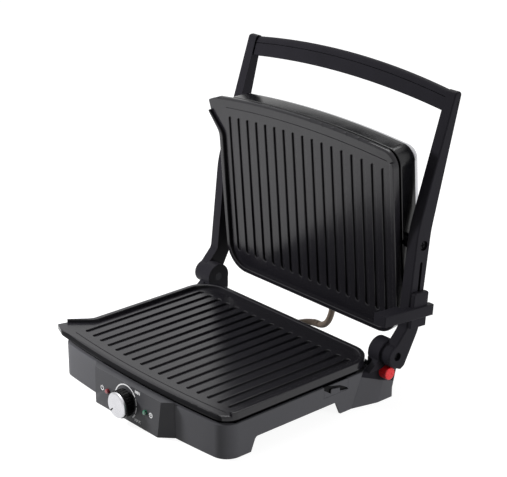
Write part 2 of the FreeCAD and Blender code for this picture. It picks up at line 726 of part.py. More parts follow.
def control_panel():
    body = new_body("control_panel")
    root = d.panel_root_y
    plan = [(-d.panel_half, -d.panel_front), (d.panel_half, -d.panel_front),
            (d.panel_root_half, -root, -d.bow_radius), (-d.panel_root_half, -root)]
    low, high = d.base_bottom, d.panel_top
    pad_outline(body, "panel_block", "XY_Plane", low, high - low, plan)
    dress(body, "Fillet", "panel_corners", d.panel_edge_radius, upright_at(plan[0], plan[1]))
    beyond = d.panel_front + d.overrun
    wedge = [(-beyond, low), (-d.panel_front, low), (-d.panel_top_front, high + d.overrun),
             (-beyond, high + d.overrun)]
    wide = d.panel_root_half + d.overrun
    cut_outline(body, "panel_rake", "YZ_Plane", -wide, wide + wide, wedge)
    inner = [(-d.panel_inner_half, -d.panel_inner_front), (d.panel_inner_half, -d.panel_inner_front),
             (d.panel_inner_half, -d.plan_corner), (-d.panel_inner_half, -d.plan_corner)]
    cut_outline(body, "panel_hollow", "XY_Plane", low + d.panel_wall,
                high - low - d.panel_wall - d.panel_wall, inner)
    run = d.panel_front - d.panel_inner_front + d.overrun + d.overrun
    gap = d.running_gap
    cut_circles(body, "panel_holes", "XZ_Plane", d.panel_inner_front - d.overrun, run,
                (0, d.dial_level, d.neck_radius + gap),
                (d.lamp_x, d.dial_level, d.lamp_radius + gap),
                (-d.lamp_x, d.dial_level, d.lamp_radius + gap))
    return settle(body)


def lamp(label, x):
    body = new_body(label)
    start = d.panel_inner_front - d.lamp_flange_thick
    pad_circles(body, f"{label}_flange", "XZ_Plane", start, d.lamp_flange_thick,
                (x, d.dial_level, d.lamp_flange))
    tip = d.panel_front - d.panel_inner_front + d.lamp_proud
    pad_circles(body, f"{label}_lens", "XZ_Plane", d.panel_inner_front, tip,
                (x, d.dial_level, d.lamp_radius))
    dress(body, "Fillet", f"{label}_dome", d.lamp_dome,
          flat_at("Y", -(d.panel_inner_front + tip)))
    return settle(body)


def thermostat():
    body = new_body("thermostat")
    half = d.thermostat_half
    pad_outline(body, "thermostat_box", "XZ_Plane", d.thermostat_back,
                d.panel_inner_front - d.thermostat_back,
                rectangle(-half, d.thermostat_low, half, d.thermostat_high))
    run = d.panel_front - d.panel_inner_front - d.neck_proud
    pad_circles(body, "thermostat_neck", "XZ_Plane", d.panel_inner_front, run,
                (0, d.dial_level, d.neck_radius))
    cut_circles(body, "thermostat_bore", "XZ_Plane", d.shaft_back - d.fit_gap,
                d.panel_front - d.shaft_back + d.overrun,
                (0, d.dial_level, d.shaft_radius + d.running_gap))
    return settle(body)


def thermostat_shaft():
    body = new_body("thermostat_shaft")
    tip = d.knob_back + d.knob_bore_depth - d.fit_gap
    pad_circles(body, "shaft_rod", "XZ_Plane", d.shaft_back, tip - d.shaft_back,
                (0, d.dial_level, d.shaft_radius))
    return settle(body)


def front_place(y):
    turned = Rotation(OUT, FRONT_TURN).multiply(Rotation(UP, POINTER_TURN))
    return Placement(at(0, -y, d.dial_level), turned)


def knob_body():
    body = new_body("knob_body")
    pad_circles(body, "knob_drum", "XY_Plane", 0, d.knob_depth, (0, 0, d.knob_radius))
    cut_circles(body, "knob_bore", "XY_Plane", -d.overrun, d.knob_bore_depth + d.overrun,
                (0, 0, d.shaft_radius + d.running_gap))
    rib = cut_circles(body, "knob_rib", "XY_Plane", -d.overrun, d.knob_rib_run + d.overrun,
                      (d.knob_rib_offset, 0, d.knob_rib_radius))
    ribs = body.newObject("PartDesign::PolarPattern", "knob_ribs")
    ribs.Originals = [rib]
    ribs.Axis = (origin_item(body, "Z_Axis"), [""])
    ribs.Angle = 360
    ribs.Occurrences = int(float(d.knob_ribs))
    bind(ribs, "Occurrences", d.knob_ribs)
    body.Tip = ribs
    doc.recompute()
    dress(body, "Fillet", "knob_edge", d.knob_edge, flat_at("Z", d.knob_depth))
    return settle(body, front_place(d.knob_back))


def knob_cap():
    body = new_body("knob_cap")
    pad_circles(body, "cap_disc", "XY_Plane", d.knob_depth, d.cap_depth, (0, 0, d.cap_radius))
    top = d.knob_depth + d.cap_depth
    dress(body, "Chamfer", "cap_chamfer", d.cap_chamfer, flat_at("Z", top))
    mark = rectangle(-d.mark_half, -d.mark_end, d.mark_half, -d.mark_start)
    cut_outline(body, "cap_mark", "XY_Plane", top - d.mark_depth, d.mark_depth + d.overrun, mark)
    return settle(body, front_place(d.knob_back))


# Hinge

def bracket(label, side):
    """A hinge bracket on the right (side 1) or the left (side -1)."""
    body = new_body(label)
    width = d.knuckle_out - d.knuckle_in
    start = d.knuckle_in if side > 0 else -d.knuckle_out
    neck = [(d.bracket_front, d.bracket_step), (d.bracket_rear, d.bracket_step),
            (d.bracket_rear, d.bracket_low), (d.bracket_back_low, d.bracket_low),
            (d.bracket_back_high, d.bracket_step), (d.bracket_back_high, d.hinge_z),
            (d.hinge_y, d.hinge_z), (d.bracket_nose, d.bracket_nose_top)]
    pad_outline(body, f"{label}_neck", "YZ_Plane", start, width, neck)
    notch = [(d.bracket_front - d.overrun, d.bracket_step - d.overrun),
             (d.bracket_nose, d.bracket_step - d.overrun), (d.bracket_nose, d.hinge_z),
             (d.bracket_front - d.overrun, d.hinge_z)]
    inner = d.bracket_side - d.knuckle_in + d.fit_gap
    face = d.knuckle_in if side > 0 else -d.bracket_side - d.fit_gap
    cut_outline(body, f"{label}_clear", "YZ_Plane", face, inner, notch)
    pad_circles(body, f"{label}_knuckle", "YZ_Plane", start, width,
                (d.hinge_y, d.hinge_z, d.knuckle_radius))
    levels = []
    for level, front, full in ((d.base_bottom, d.shroud_low_front, d.shroud_low_full),
                               (d.shroud_top, d.shroud_high_front, d.shroud_high_full)):
        shroud = [(d.bracket_side, front), (d.knuckle_out, full),
                  (d.knuckle_out, d.bracket_back_low), (d.bracket_side, d.bracket_back_low)]
        levels.append((level, shroud if side > 0 else mirrored(shroud)))
    loft_outlines(body, f"{label}_shroud", "XY_Plane", *levels)
    cut_circles(body, f"{label}_bore", "YZ_Plane", start - d.overrun, width + d.overrun + d.overrun,
                (d.hinge_y, d.hinge_z, d.pin_radius + d.running_gap / 2))
    return body


def hinge_bracket_right():
    body = bracket("hinge_bracket_right", 1)
    cut_circles(body, "button_bore", "YZ_Plane", d.button_floor,
                d.knuckle_out - d.button_floor + d.overrun,
                (d.button_y, d.button_z, d.button_radius + d.running_gap))
    return settle(body)


def hinge_bracket_left():
    return settle(bracket("hinge_bracket_left", -1))


def release_button():
    body = new_body("release_button")
    spot = (d.button_y, d.button_z)
    pad_circles(body, "button_cup", "YZ_Plane", d.button_in, d.button_out - d.button_in,
                (*spot, d.button_radius))
    dress(body, "Fillet", "button_edge", d.button_edge, flat_at("X", d.button_out))
    cut_circles(body, "button_hollow_cut", "YZ_Plane", d.button_in - d.overrun,
                d.button_out - d.button_in - d.button_skin + d.overrun,
                (*spot, d.button_hollow))
    return settle(body)


def hinge_pins():
    pins = []
    outer = d.arm_out - d.pin_sink
    for side in (1, -1):
        start = at(d.knuckle_in * side, d.hinge_y, d.hinge_z)
        shank = rod(start, OUT * side, outer - d.knuckle_in, d.pin_radius)
        pins.append(softened(shank, d.pin_edge, flat_at("X", outer * side)))
    return settle(solid_group("hinge_pins", pins))


# Arms and grip

def arm_outline():
    return [
        (d.arm_top_rear, d.arm_top), (d.arm_top_front, d.arm_top),
        (d.arm_bend_front_y, d.arm_bend_front_z), (d.arm_low_front_y, d.arm_low_front_z),
        (d.boss_start_y, d.boss_start_z, d.boss_radius), (d.boss_end_y, d.boss_end_z),
        (d.heel_y, d.heel_z), (d.heel_back_y, d.heel_back_z),
        (d.arm_low_rear_y, d.arm_low_rear_z), (d.arm_bend_rear_y, d.arm_bend_rear_z),
    ]


def arm(label, side):
    body = new_body(label)
    width = d.arm_out - d.arm_in
    start = d.arm_in if side > 0 else -d.arm_out
    line = arm_outline()
    pad_outline(body, f"{label}_bar", "YZ_Plane", start, width, line)
    dress(body, "Fillet", f"{label}_bends", d.arm_bend_radius, across_at(line[2], line[9]))
    dress(body, "Fillet", f"{label}_low_rear", d.arm_rear_radius, across_at(line[8]))
    dress(body, "Fillet", f"{label}_low_front", d.arm_low_radius, across_at(line[3]))
    dress(body, "Fillet", f"{label}_heel", d.arm_heel_radius, across_at(line[6], line[7]))
    dress(body, "Fillet", f"{label}_top", d.arm_top_radius, across_at(line[0], line[1]))
    dress(body, "Fillet", f"{label}_edge", d.arm_edge, flat_at("X", d.arm_out * side))
    gap = d.running_gap
    cut_circles(body, f"{label}_holes", "YZ_Plane", start - d.overrun, width + d.overrun + d.overrun,
                (d.hinge_y, d.hinge_z, d.pin_radius + gap),
                (d.lid_pivot_y, d.lid_pivot_z, d.lid_screw_radius + gap),
                (d.handle_screw_y, d.handle_screw_z, d.screw_radius + gap))
    sink = d.arm_out - d.handle_screw_sink if side > 0 else -d.arm_out - d.overrun
    cut_circles(body, f"{label}_sink", "YZ_Plane", sink, d.handle_screw_sink + d.overrun,
                (d.handle_screw_y, d.handle_screw_z, d.handle_screw_head + gap))
    sink = d.arm_out - d.lid_screw_sink if side > 0 else -d.arm_out - d.overrun
    cut_circles(body, f"{label}_pivot_sink", "YZ_Plane", sink, d.lid_screw_sink + d.overrun,
                (d.lid_pivot_y, d.lid_pivot_z, d.lid_sink_radius))
    return body


def left_arm():
    return settle(arm("left_arm", -1))


def slide_place():
    corner = at(0, d.slot_low_y, d.slot_low_z)
    return Placement(corner, Rotation(OUT, SLIDE_LEAN))


def right_arm():
    """The right arm has the slot of the lock slider."""
    body = arm("right_arm", 1)
    lean = math.radians(-SLIDE_LEAN)
    rise_share, side_share = math.cos(lean), math.sin(lean)
    half_y, half_z = d.slot_half * rise_share, d.slot_half * side_share
    low_y, low_z = d.slot_low_y - d.slot_spare * side_share, d.slot_low_z - d.slot_spare * rise_share
    top_y, top_z = d.slot_low_y + d.slot_run * side_share, d.slot_low_z + d.slot_run * rise_share
    end = d.slot_half + d.running_gap
    slot = [(low_y - half_y, low_z + half_z, end), (low_y + half_y, low_z - half_z),
            (top_y + half_y, top_z - half_z, end), (top_y - half_y, top_z + half_z)]
    cut_outline(body, "arm_slot", "YZ_Plane", d.arm_in - d.overrun,
                d.arm_out - d.arm_in + d.overrun + d.overrun, slot)
    return settle(body)


def grip_outline():
    half = d.arm_in - d.keeper_gap
    return [(-half, 0, -d.grip_low_radius), (half, 0),
            (half, d.grip_height, d.grip_top_radius), (-half, d.grip_height)]


def grip_place():
    return Placement(at(0, d.grip_y, d.grip_z), Rotation(OUT, GRIP_LEAN))


def grip_screw_spots():
    """Where the handle screws enter the grip, in the grip's own frame."""
    spot = grip_place().inverse().multVec(at(0, d.handle_screw_y, d.handle_screw_z))
    return spot.y, spot.z


def grip_half(label, start, depth, edge_level, edge_radius):
    body = new_body(label)
    pad_outline(body, f"{label}_bar", "XY_Plane", start, depth, grip_outline())
    dress(body, "Fillet", f"{label}_edges", edge_radius,
          flat_at("Z", edge_level, lambda edge: edge.Length > float(d.grip_height) * LONG_SHARE))
    return body


def grip_front():
    body = grip_half("grip_front", d.grip_parting, d.grip_face - d.grip_parting, d.grip_face,
                     d.grip_front_edge)
    return settle(body, grip_place())


def grip_back():
    body = grip_half("grip_back", d.grip_rear, d.grip_parting - d.grip_rear, d.grip_rear,
                     d.grip_back_edge)
    y, z = grip_screw_spots()
    half = d.arm_in - d.keeper_gap
    run = d.handle_screw_run
    for name, level in (("right", half - run), ("left", -half - d.overrun)):
        cut_circles(body, f"grip_{name}_pilot", "YZ_Plane", level, run + d.overrun,
                    (y, z, d.screw_radius + d.running_gap))
    return settle(body, grip_place())


def handle_screws():
    screws = []
    inner = d.arm_in - d.handle_screw_run + d.overrun
    seat = d.arm_out - d.handle_screw_sink
    for side in (1, -1):
        way = OUT * side
        start = at(inner * side, d.handle_screw_y, d.handle_screw_z)
        shank = rod(start, way, seat - inner, d.screw_radius)
        head = rod(start + way * float(seat - inner), way, d.screw_head, d.handle_screw_head)
        screws.append(shank.fuse(head))
    return settle(solid_group("handle_screws", screws))


def lid_pivot_screws():
    screws = []
    inner = d.lid_boss_root + d.overrun
    run = d.arm_out - d.lid_screw_sink + d.keeper_gap - inner
    for side in (1, -1):
        way = OUT * side
        start = at(inner * side, d.lid_pivot_y, d.lid_pivot_z)
        shank = rod(start, way, run, d.lid_screw_radius)
        head = rod(start + way * float(run), way, d.lid_screw_head, d.lid_screw_head_radius)
        head = softened(head, d.lid_screw_edge,
                        flat_at("X", (inner + run + d.lid_screw_head) * side))
        screws.append(shank.fuse(head))
    return settle(solid_group("lid_pivot_screws", screws))


# Lock slider on the right arm, in a frame along the slot

def lock_slider():
    body = new_body("lock_slider")
    inner = d.arm_out + d.fit_gap
    block = rectangle(-d.slider_block_half, d.slider_block_low, d.slider_block_half,
                      d.slider_block_top)
    pad_outline(body, "slider_block", "YZ_Plane", inner, d.slider_block_out - inner, block)
    dress(body, "Fillet", "slider_block_corners", d.slider_corner,
          across_at((-d.slider_block_half, d.slider_block_top),
                    (d.slider_block_half, d.slider_block_top)))
    bar = rectangle(d.slider_bar_front, d.slider_bar_low, d.slider_bar_rear, d.slider_block_low)
    pad_outline(body, "slider_bar", "YZ_Plane", inner, d.slider_bar_out - inner, bar)
    tail = rectangle(-d.slider_tail_half, d.slider_tail_low, d.slider_tail_half, d.slider_bar_low)
    pad_outline(body, "slider_tail", "YZ_Plane", inner, d.slider_tail_out - inner, tail)
    nose = rectangle(d.slider_bar_front, d.slider_bar_low, d.slider_nose_rear, d.slider_block_low)
    pad_outline(body, "slider_nose", "YZ_Plane", d.slider_nose_in, inner - d.slider_nose_in, nose)
    dress(body, "Fillet", "slider_bar_edges", d.slider_edge, flat_at("X", d.slider_bar_out))
    dress(body, "Fillet", "slider_block_edges", d.slider_edge,
          flat_at("X", d.slider_block_out, lambda edge: middle(edge).z > float(d.slider_block_low) + NEAR))
    cut_circles(body, "slider_hole", "YZ_Plane", inner - d.overrun,
                d.slider_block_out - inner - d.rivet_skin + d.overrun,
                (0, 0, d.rivet_radius + d.running_gap))
    return settle(body, slide_place())


def slider_rivet():
    inner = d.arm_in - d.rivet_gap
    shank = rod(at(inner, 0, 0), OUT, d.slider_block_out - d.rivet_skin - inner, d.rivet_radius)
    head = rod(at(inner - d.rivet_head, 0, 0), OUT, d.rivet_head, d.rivet_head_radius)
    head = softened(head, d.lid_screw_edge, flat_at("X", inner - d.rivet_head))
    return settle(solid_group("slider_rivet", [head.fuse(shank)]), slide_place())


# Lid, in the frame of the lid

def lid_frame():
    body = new_body("lid_frame")
    low, high = d.lid_frame_low, d.lid_frame_top
    inset = d.lid_inset
    pad_outline(body, "lid_block", "XY_Plane", low, high - low, bowed_plan(inset, -1))
    fronts, rears = plan_corners(inset, -1)
    dress(body, "Fillet", "lid_front_corners", d.front_corner_radius - inset, upright_at(*fronts))
    dress(body, "Fillet", "lid_rear_corners", d.rear_corner_radius - inset, upright_at(*rears))
    dress(body, "Fillet", "lid_edge", d.lid_frame_edge, flat_at("Z", high))
    ledge = d.upper_land - d.rim_drop - d.skirt_depth
    wall = inset + d.base_wall
    cut_outline(body, "lid_recess", "XY_Plane", ledge, high - ledge + d.overrun,
                clipped_plan(wall, -1))
    cut_outline(body, "lid_opening", "XY_Plane", low - d.overrun, high - low + d.overrun,
                clipped_plan(d.ledge_inset, -1))
    cut_outline(body, "lid_cavity", "XY_Plane", low - d.overrun,
                ledge - d.ledge_thick - low + d.overrun, clipped_plan(wall, -1))
    for name, side in (("right", 1), ("left", -1)):
        start = d.lid_boss_root if side > 0 else -d.lid_boss_out
        pad_circles(body, f"lid_boss_{name}", "YZ_Plane", start, d.lid_boss_out - d.lid_boss_root,
                    (0, 0, d.lid_boss_radius))
        cut_circles(body, f"lid_bore_{name}", "YZ_Plane", start - d.overrun,
                    d.lid_boss_out - d.lid_boss_root + d.overrun + d.overrun,
                    (0, 0, d.lid_screw_radius + d.running_gap))
    cut_circles(body, "lid_cable_hole", "XZ_Plane", d.plan_rear - d.base_wall - inset - d.overrun,
                d.base_wall + d.overrun + d.overrun,
                (d.cable_rise_x, 0, d.cable_bush_neck + d.cable_bush_thick))
    return settle(body, lid_place())


def plan_wire(inset, level):
    """The lid's plan with round corners as a wire, for the pressed cover."""
    half, front, rear = d.plan_half - inset, d.plan_corner - inset, d.plan_rear - inset
    corners = [at(-half, front, level), at(half, front, level), at(half, -rear, level),
               at(-half, -rear, level)]
    chord = float(half)
    bow = chord * chord / (float(d.bow_radius) + float(d.bow_radius))
    crown = at(0, front, level) + Vector(0, bow, 0)
    edges = [Part.Arc(corners[0], crown, corners[1]).toShape()]
    for i in (1, 2, 3):
        edges.append(Part.LineSegment(corners[i], corners[(i + 1) % 4]).toShape())
    return Part.Face(Part.Wire(edges))


def cover_solid(inset, low, high, edge_radius):
    solid = plan_wire(inset, low).extrude(Vector(0, 0, float(high - low)))
    front, rear = d.plan_corner - inset, d.plan_rear - inset
    half = d.plan_half - inset
    front_spots = upright_at((half, front), (-half, front))
    rear_spots = upright_at((half, -rear), (-half, -rear))
    solid = softened(solid, d.front_corner_radius - inset, front_spots)
    solid = softened(solid, d.rear_corner_radius - inset, rear_spots)
    return softened(solid, edge_radius, flat_at("Z", low))


def lid_cover():
    """A pressed steel dome: an outer form less the same form one skin smaller."""
    high = d.lid_frame_low
    outer = cover_solid(d.dome_inset, d.dome_low, high, d.dome_radius)
    inner = cover_solid(d.dome_inset + d.dome_skin, d.dome_low + d.dome_skin, high + d.overrun,
                        d.dome_radius - d.dome_skin)
    piece = doc.addObject("Part::Feature", "lid_cover")
    piece.Label = "lid_cover"
    piece.Shape = outer.cut(inner)
    made.append(piece)
    return settle(piece, lid_place())


# Heaters and reflectors, the same under both plates

def reflector(label, seat, way):
    """A sheet tray on the ledge with two saddles that carry the heater."""
    body = new_body(label)
    thick = d.tray_thick
    pad_outline(body, f"{label}_flange", "XY_Plane", seat, thick, clipped_plan(d.tray_flange_inset, way))
    floor = seat - d.tray_drop
    pad_outline(body, f"{label}_well", "XY_Plane", floor, d.tray_drop, clipped_plan(d.tray_wall_inset, way))
    cut_outline(body, f"{label}_inside", "XY_Plane", floor + thick, d.tray_drop + d.overrun,
                clipped_plan(d.tray_wall_inset + thick, way))
    rest = seat + heater_height() - d.heater_radius - d.keeper_gap
    saddles = []
    for x in (d.saddle_x, -d.saddle_x):
        saddles.append(rectangle(x - d.saddle_width / 2, -d.saddle_run / 2, x + d.saddle_width / 2,
                                 d.saddle_run / 2))
    pad_outline(body, f"{label}_saddles", "XY_Plane", floor, rest - floor, *saddles)
    y = (d.heater_rear + d.tail_bend) * way
    cut_circles(body, f"{label}_tails", "XY_Plane", floor - d.overrun, thick + d.overrun + d.overrun,
                (d.heater_tail_x, y, d.tail_hole_radius), (-d.heater_tail_x, y, d.tail_hole_radius))
    return body


def heater_height():
    """Height of the heater's middle over the ledge."""
    return d.skirt_depth + d.rim_drop - d.plate_floor - d.heater_radius - d.heater_gap


def lower_reflector():
    return settle(reflector("lower_reflector", d.ledge_top, 1))


def upper_reflector():
    seat = d.upper_land - d.rim_drop - d.skirt_depth
    return settle(reflector("upper_reflector", seat, -1), lid_place())


def bend_path(corners, radii):
    """Straight runs joined by tangent arcs at the inner corners, as one wire."""
    edges = []
    last = corners[0]
    for i in range(1, len(corners) - 1):
        back = (corners[i - 1] - corners[i]).normalize()
        ahead = (corners[i + 1] - corners[i]).normalize()
        turn = math.pi - back.getAngle(ahead)
        reach = radii[i - 1] * math.tan(turn / 2)
        first, second = corners[i] + back * reach, corners[i] + ahead * reach
        bisector = (back + ahead).normalize()
        centre = corners[i] + bisector * (radii[i - 1] / math.cos(turn / 2))
        crown = centre - bisector * radii[i - 1]
        if (first - last).Length > NEAR:
            edges.append(Part.LineSegment(last, first).toShape())
        edges.append(Part.Arc(first, crown, second).toShape())
        last = second
    edges.append(Part.LineSegment(last, corners[-1]).toShape())
    return Part.Wire(edges)


def tube(label, path, radius):
    """A round bar along a path, checked against its section times its length."""
    start = path.Edges[0].valueAt(path.Edges[0].FirstParameter)
    way = path.Edges[0].tangentAt(path.Edges[0].FirstParameter)
    ring = Part.Wire(Part.Circle(start, way, float(radius)).toShape())
    solid = path.makePipeShell([ring], True, False)
    expected = math.pi * float(radius) * float(radius) * path.Length
    if abs(solid.Volume - expected) > expected * BULK_SHARE:
        raise ValueError(f"{label}: volume {solid.Volume}, not {expected}")
    piece = doc.addObject("Part::Feature", label)
    piece.Label = label
    piece.Shape = solid
    made.append(piece)
    return piece


def heater(label, seat, way):
    """A sheathed element bent in a ring under the grooves, with its two ends turned down."""
    z = seat + heater_height()
    rear = (d.heater_rear + d.tail_bend) * way
    front = -d.heater_front * way
    low = z - d.heater_tail_drop
    inner, outer = d.heater_tail_x, d.heater_half
    corners = [at(inner, rear, low), at(inner, rear, z), at(inner, d.heater_bend * way, z),
               at(outer, d.heater_bend * way, z), at(outer, front, z), at(-outer, front, z),
               at(-outer, d.heater_bend * way, z), at(-inner, d.heater_bend * way, z),
               at(-inner, rear, z), at(-inner, rear, low)]
    bend, tail = float(d.heater_bend) / 2, float(d.tail_bend)
    radii = [tail, bend, bend, bend, bend, bend, bend, tail]
    return tube(label, bend_path(corners, radii), d.heater_radius)


def lower_heater():
    return settle(heater("lower_heater", d.ledge_top, 1))


def upper_heater():
    seat = d.upper_land - d.rim_drop - d.skirt_depth
    return settle(heater("upper_heater", seat, -1), lid_place())


# Wiring

def terminal_block():
    body = new_body("terminal_block")
    x, y = d.terminal_x, d.terminal_y
    low = d.cover_low + d.cover_thick
    pad_outline(body, "terminal_bar", "XY_Plane", low, d.terminal_high,
                rectangle(x - d.terminal_long / 2, y - d.terminal_wide / 2,
                          x + d.terminal_long / 2, y + d.terminal_wide / 2))
    holes = [(x + d.terminal_pitch * step, y, d.terminal_hole) for step in (-1, 0, 1)]
    cut_circles(body, "terminal_wells", "XY_Plane", low + d.terminal_high - d.terminal_sink,
                d.terminal_sink + d.overrun, *holes)
    return settle(body)


def rear_bush(label, x, z):
    """A flanged rubber bush in the rear wall."""
    body = new_body(label)
    outer = d.base_rear + d.keeper_gap
    flange = d.gland_flange_thick
    pad_circles(body, f"{label}_flange", "XZ_Plane", -outer - flange, flange, (x, z, d.gland_flange))
    pad_circles(body, f"{label}_neck", "XZ_Plane", -outer, d.base_wall + d.overrun, (x, z, d.gland_neck))
    return body


def cord_gland():
    body = rear_bush("cord_gland", d.gland_x, d.gland_z)
    outer = d.base_rear + d.keeper_gap + d.gland_flange_thick
    pad_circles(body, "cord_gland_nose", "XZ_Plane", -outer - d.gland_proud, d.gland_proud,
                (d.gland_x, d.gland_z, d.gland_radius))
    cut_circles(body, "cord_gland_bore", "XZ_Plane", -outer - d.gland_proud - d.overrun,
                d.gland_proud + d.gland_flange_thick + d.gland_neck + d.overrun + d.overrun,
                (d.gland_x, d.gland_z, d.gland_bore))
    return settle(body)


def base_cable_gland():
    return settle(rear_bush("base_cable_gland", d.cable_start_x, d.cable_z))


def lid_cable_gland():
    body = new_body("lid_cable_gland")
    face = d.plan_rear - d.lid_inset
    pad_circles(body, "lid_gland_flange", "XZ_Plane", face + d.keeper_gap, d.cable_bush_thick,
                (d.cable_rise_x, 0, d.cable_bush_neck + d.cable_bush_thick + d.cable_bush_thick))
    pad_circles(body, "lid_gland_neck", "XZ_Plane", face - d.base_wall - d.overrun,
                d.base_wall + d.overrun + d.keeper_gap,
                (d.cable_rise_x, 0, d.cable_bush_neck + d.cable_bush_thick - d.running_gap))
    return settle(body, lid_place())


def link_cable():
    """The sleeved lead from the base to the lid: back, to the right, then up."""
    start_y = d.base_rear + d.keeper_gap + d.gland_flange_thick
    z = d.cable_z
    end = lid_place().multVec(at(d.cable_rise_x, d.cable_end_v, 0))
    back = d.cable_run_y + d.cable_turn
    corners = [at(d.cable_start_x, start_y, z), at(d.cable_start_x, back, z),
               at(d.cable_rise_x, back, z), end]
    radii = [float(d.cable_turn), float(d.cable_lift_turn)]
    return settle(tube("link_cable", bend_path(corners, radii), d.cable_radius))


BUILDERS = [
    base_housing, bottom_cover, rubber_feet, base_screws, lock_keeper, control_panel,
    thermostat, thermostat_shaft, knob_body, knob_cap, hinge_bracket_right, hinge_bracket_left,
    release_button, hinge_pins, left_arm, right_arm, grip_front, grip_back, handle_screws,
    lid_pivot_screws, lock_slider, slider_rivet, lid_frame, lid_cover, lower_reflector,
    upper_reflector, lower_heater, upper_heater, terminal_block, cord_gland, base_cable_gland,
    lid_cable_gland, link_cable, lower_plate, upper_plate,
]
for builder in BUILDERS:
    builder()
lamp("red_lamp", -d.lamp_x)
lamp("green_lamp", d.lamp_x)
doc.recompute()

for item in doc.Objects:
    if "Invalid" in item.State or "Error" in item.State:
        raise ValueError(f"{item.Label}: {item.State}")
os.makedirs(PARTS, exist_ok=True)
for piece in made:
    if piece.Shape.isNull() or not piece.Shape.isValid() or not piece.Shape.Solids:
        raise ValueError(f"{piece.Label}: no valid solid")
    piece.Shape.exportStep(os.path.join(PARTS, f"{piece.Label}.step"))
print(f"{len(made)} pieces written")
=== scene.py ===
# %% [markdown]
# An electric contact grill with its lid up, dressed for a picture.
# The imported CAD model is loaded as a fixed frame: its solids hold the main shapes and the
# joints. Each step below adds what the solids lack: the cable, the finishes, the printed marks
# and the small forms that catch the light.

# %% Load the frame
import math

import bmesh
import bpy
from mathutils import Matrix, Vector
from mathutils.bvhtree import BVHTree


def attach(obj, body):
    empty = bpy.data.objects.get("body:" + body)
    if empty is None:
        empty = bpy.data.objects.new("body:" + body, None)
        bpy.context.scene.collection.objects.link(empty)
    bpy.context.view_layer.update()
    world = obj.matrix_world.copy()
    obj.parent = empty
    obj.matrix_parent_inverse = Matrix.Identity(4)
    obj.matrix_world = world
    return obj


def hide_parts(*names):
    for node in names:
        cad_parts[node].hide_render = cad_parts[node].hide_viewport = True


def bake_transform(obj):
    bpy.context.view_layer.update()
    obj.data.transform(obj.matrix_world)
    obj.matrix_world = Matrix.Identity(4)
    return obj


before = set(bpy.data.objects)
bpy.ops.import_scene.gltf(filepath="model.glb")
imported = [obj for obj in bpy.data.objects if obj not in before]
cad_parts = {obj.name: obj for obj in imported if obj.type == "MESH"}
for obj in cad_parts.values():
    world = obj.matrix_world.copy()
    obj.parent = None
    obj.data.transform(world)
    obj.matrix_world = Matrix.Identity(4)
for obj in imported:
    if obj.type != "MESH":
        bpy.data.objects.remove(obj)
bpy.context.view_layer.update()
scene = bpy.context.scene
MM = 0.001
GRILL_SHIFT = Vector((-4.25, -37.99, 0.0))


def at(x, y, z):
    """A point of the drawing, in millimetres, as a point of the frame in metres."""
    return (Vector((x, y, z)) + GRILL_SHIFT) * MM


# %% [markdown]
# The camera stands to the front right and a little above, as the photographer did. A long lens
# from far away keeps the arms nearly parallel; the numbers come from fitting the plate's corners.

# %% Camera
CAMERA_TILT = 21.492
CAMERA_TURN = 48.5465
CAMERA_SPOT = at(1299.35, -1087.27, 849.533)
CAMERA_LENS = 116.01
camera = bpy.data.objects.new("camera", bpy.data.cameras.new("camera"))
scene.collection.objects.link(camera)
camera.location = CAMERA_SPOT
camera.rotation_euler = (math.radians(90 - CAMERA_TILT), 0, math.radians(CAMERA_TURN))
camera.data.sensor_fit = "HORIZONTAL"
camera.data.sensor_width = 36.0
camera.data.lens = CAMERA_LENS
scene.camera = camera
print("camera at", [round(c, 3) for c in camera.location])

# %% [markdown]
# Colours are written as the hex values a painter would pick and turned to linear light once,
# here. One function adds a node, sets its sockets and links what feeds it.

# %% Colour and node helpers


def tone(hex_text):
    """An sRGB hex colour as linear red, green, blue and alpha."""
    parts = [int(hex_text[i:i + 2], 16) / 255 for i in (1, 3, 5)]
    return [p / 12.92 if p <= 0.04045 else ((p + 0.055) / 1.055) ** 2.4 for p in parts] + [1.0]


def add_node(tree, kind, sockets=None, **settings):
    """One node with its settings; a socket value that is an output gets linked."""
    node = tree.nodes.new(kind)
    for name, value in settings.items():
        setattr(node, name, value)
    for name, value in (sockets or {}).items():
        if isinstance(value, bpy.types.NodeSocket):
            tree.links.new(value, node.inputs[name])
        else:
            node.inputs[name].default_value = value
    return node


def per_mm(size):
    """The texture scale whose features are about this many millimetres wide."""
    return 1000.0 / size


# %% [markdown]
# The picture was shot on a white sweep. The world is white to the camera and in reflections and
# a soft grey to everything else, so the black plastic keeps its depth. The floor is pale, keeps
# a faint shadow near the object and runs into the same white further out.

# %% World and floor


def seen_directly(tree):
    """One for rays from the camera, a mirror or a glass, and nought for plain light."""
    path = add_node(tree, "ShaderNodeLightPath")
    both = add_node(tree, "ShaderNodeMath", {0: path.outputs["Is Camera Ray"],
                                             1: path.outputs["Is Glossy Ray"]},
                    operation="MAXIMUM")
    return add_node(tree, "ShaderNodeMath", {0: both.outputs[0],
                                             1: path.outputs["Is Transmission Ray"]},
                    operation="MAXIMUM").outputs[0]


WORLD_FILL = 0.20
world = bpy.data.worlds.new("white_sweep")
scene.world = world
world.use_nodes = True
tree = world.node_tree
tree.nodes.clear()
seen = seen_directly(tree)
level = add_node(tree, "ShaderNodeMapRange", {"Value": seen, "To Min": WORLD_FILL,
                                              "To Max": 1.0})
sky = add_node(tree, "ShaderNodeBackground", {"Color": (1, 1, 1, 1),
                                              "Strength": level.outputs["Result"]})
add_node(tree, "ShaderNodeOutputWorld", {"Surface": sky.outputs[0]})

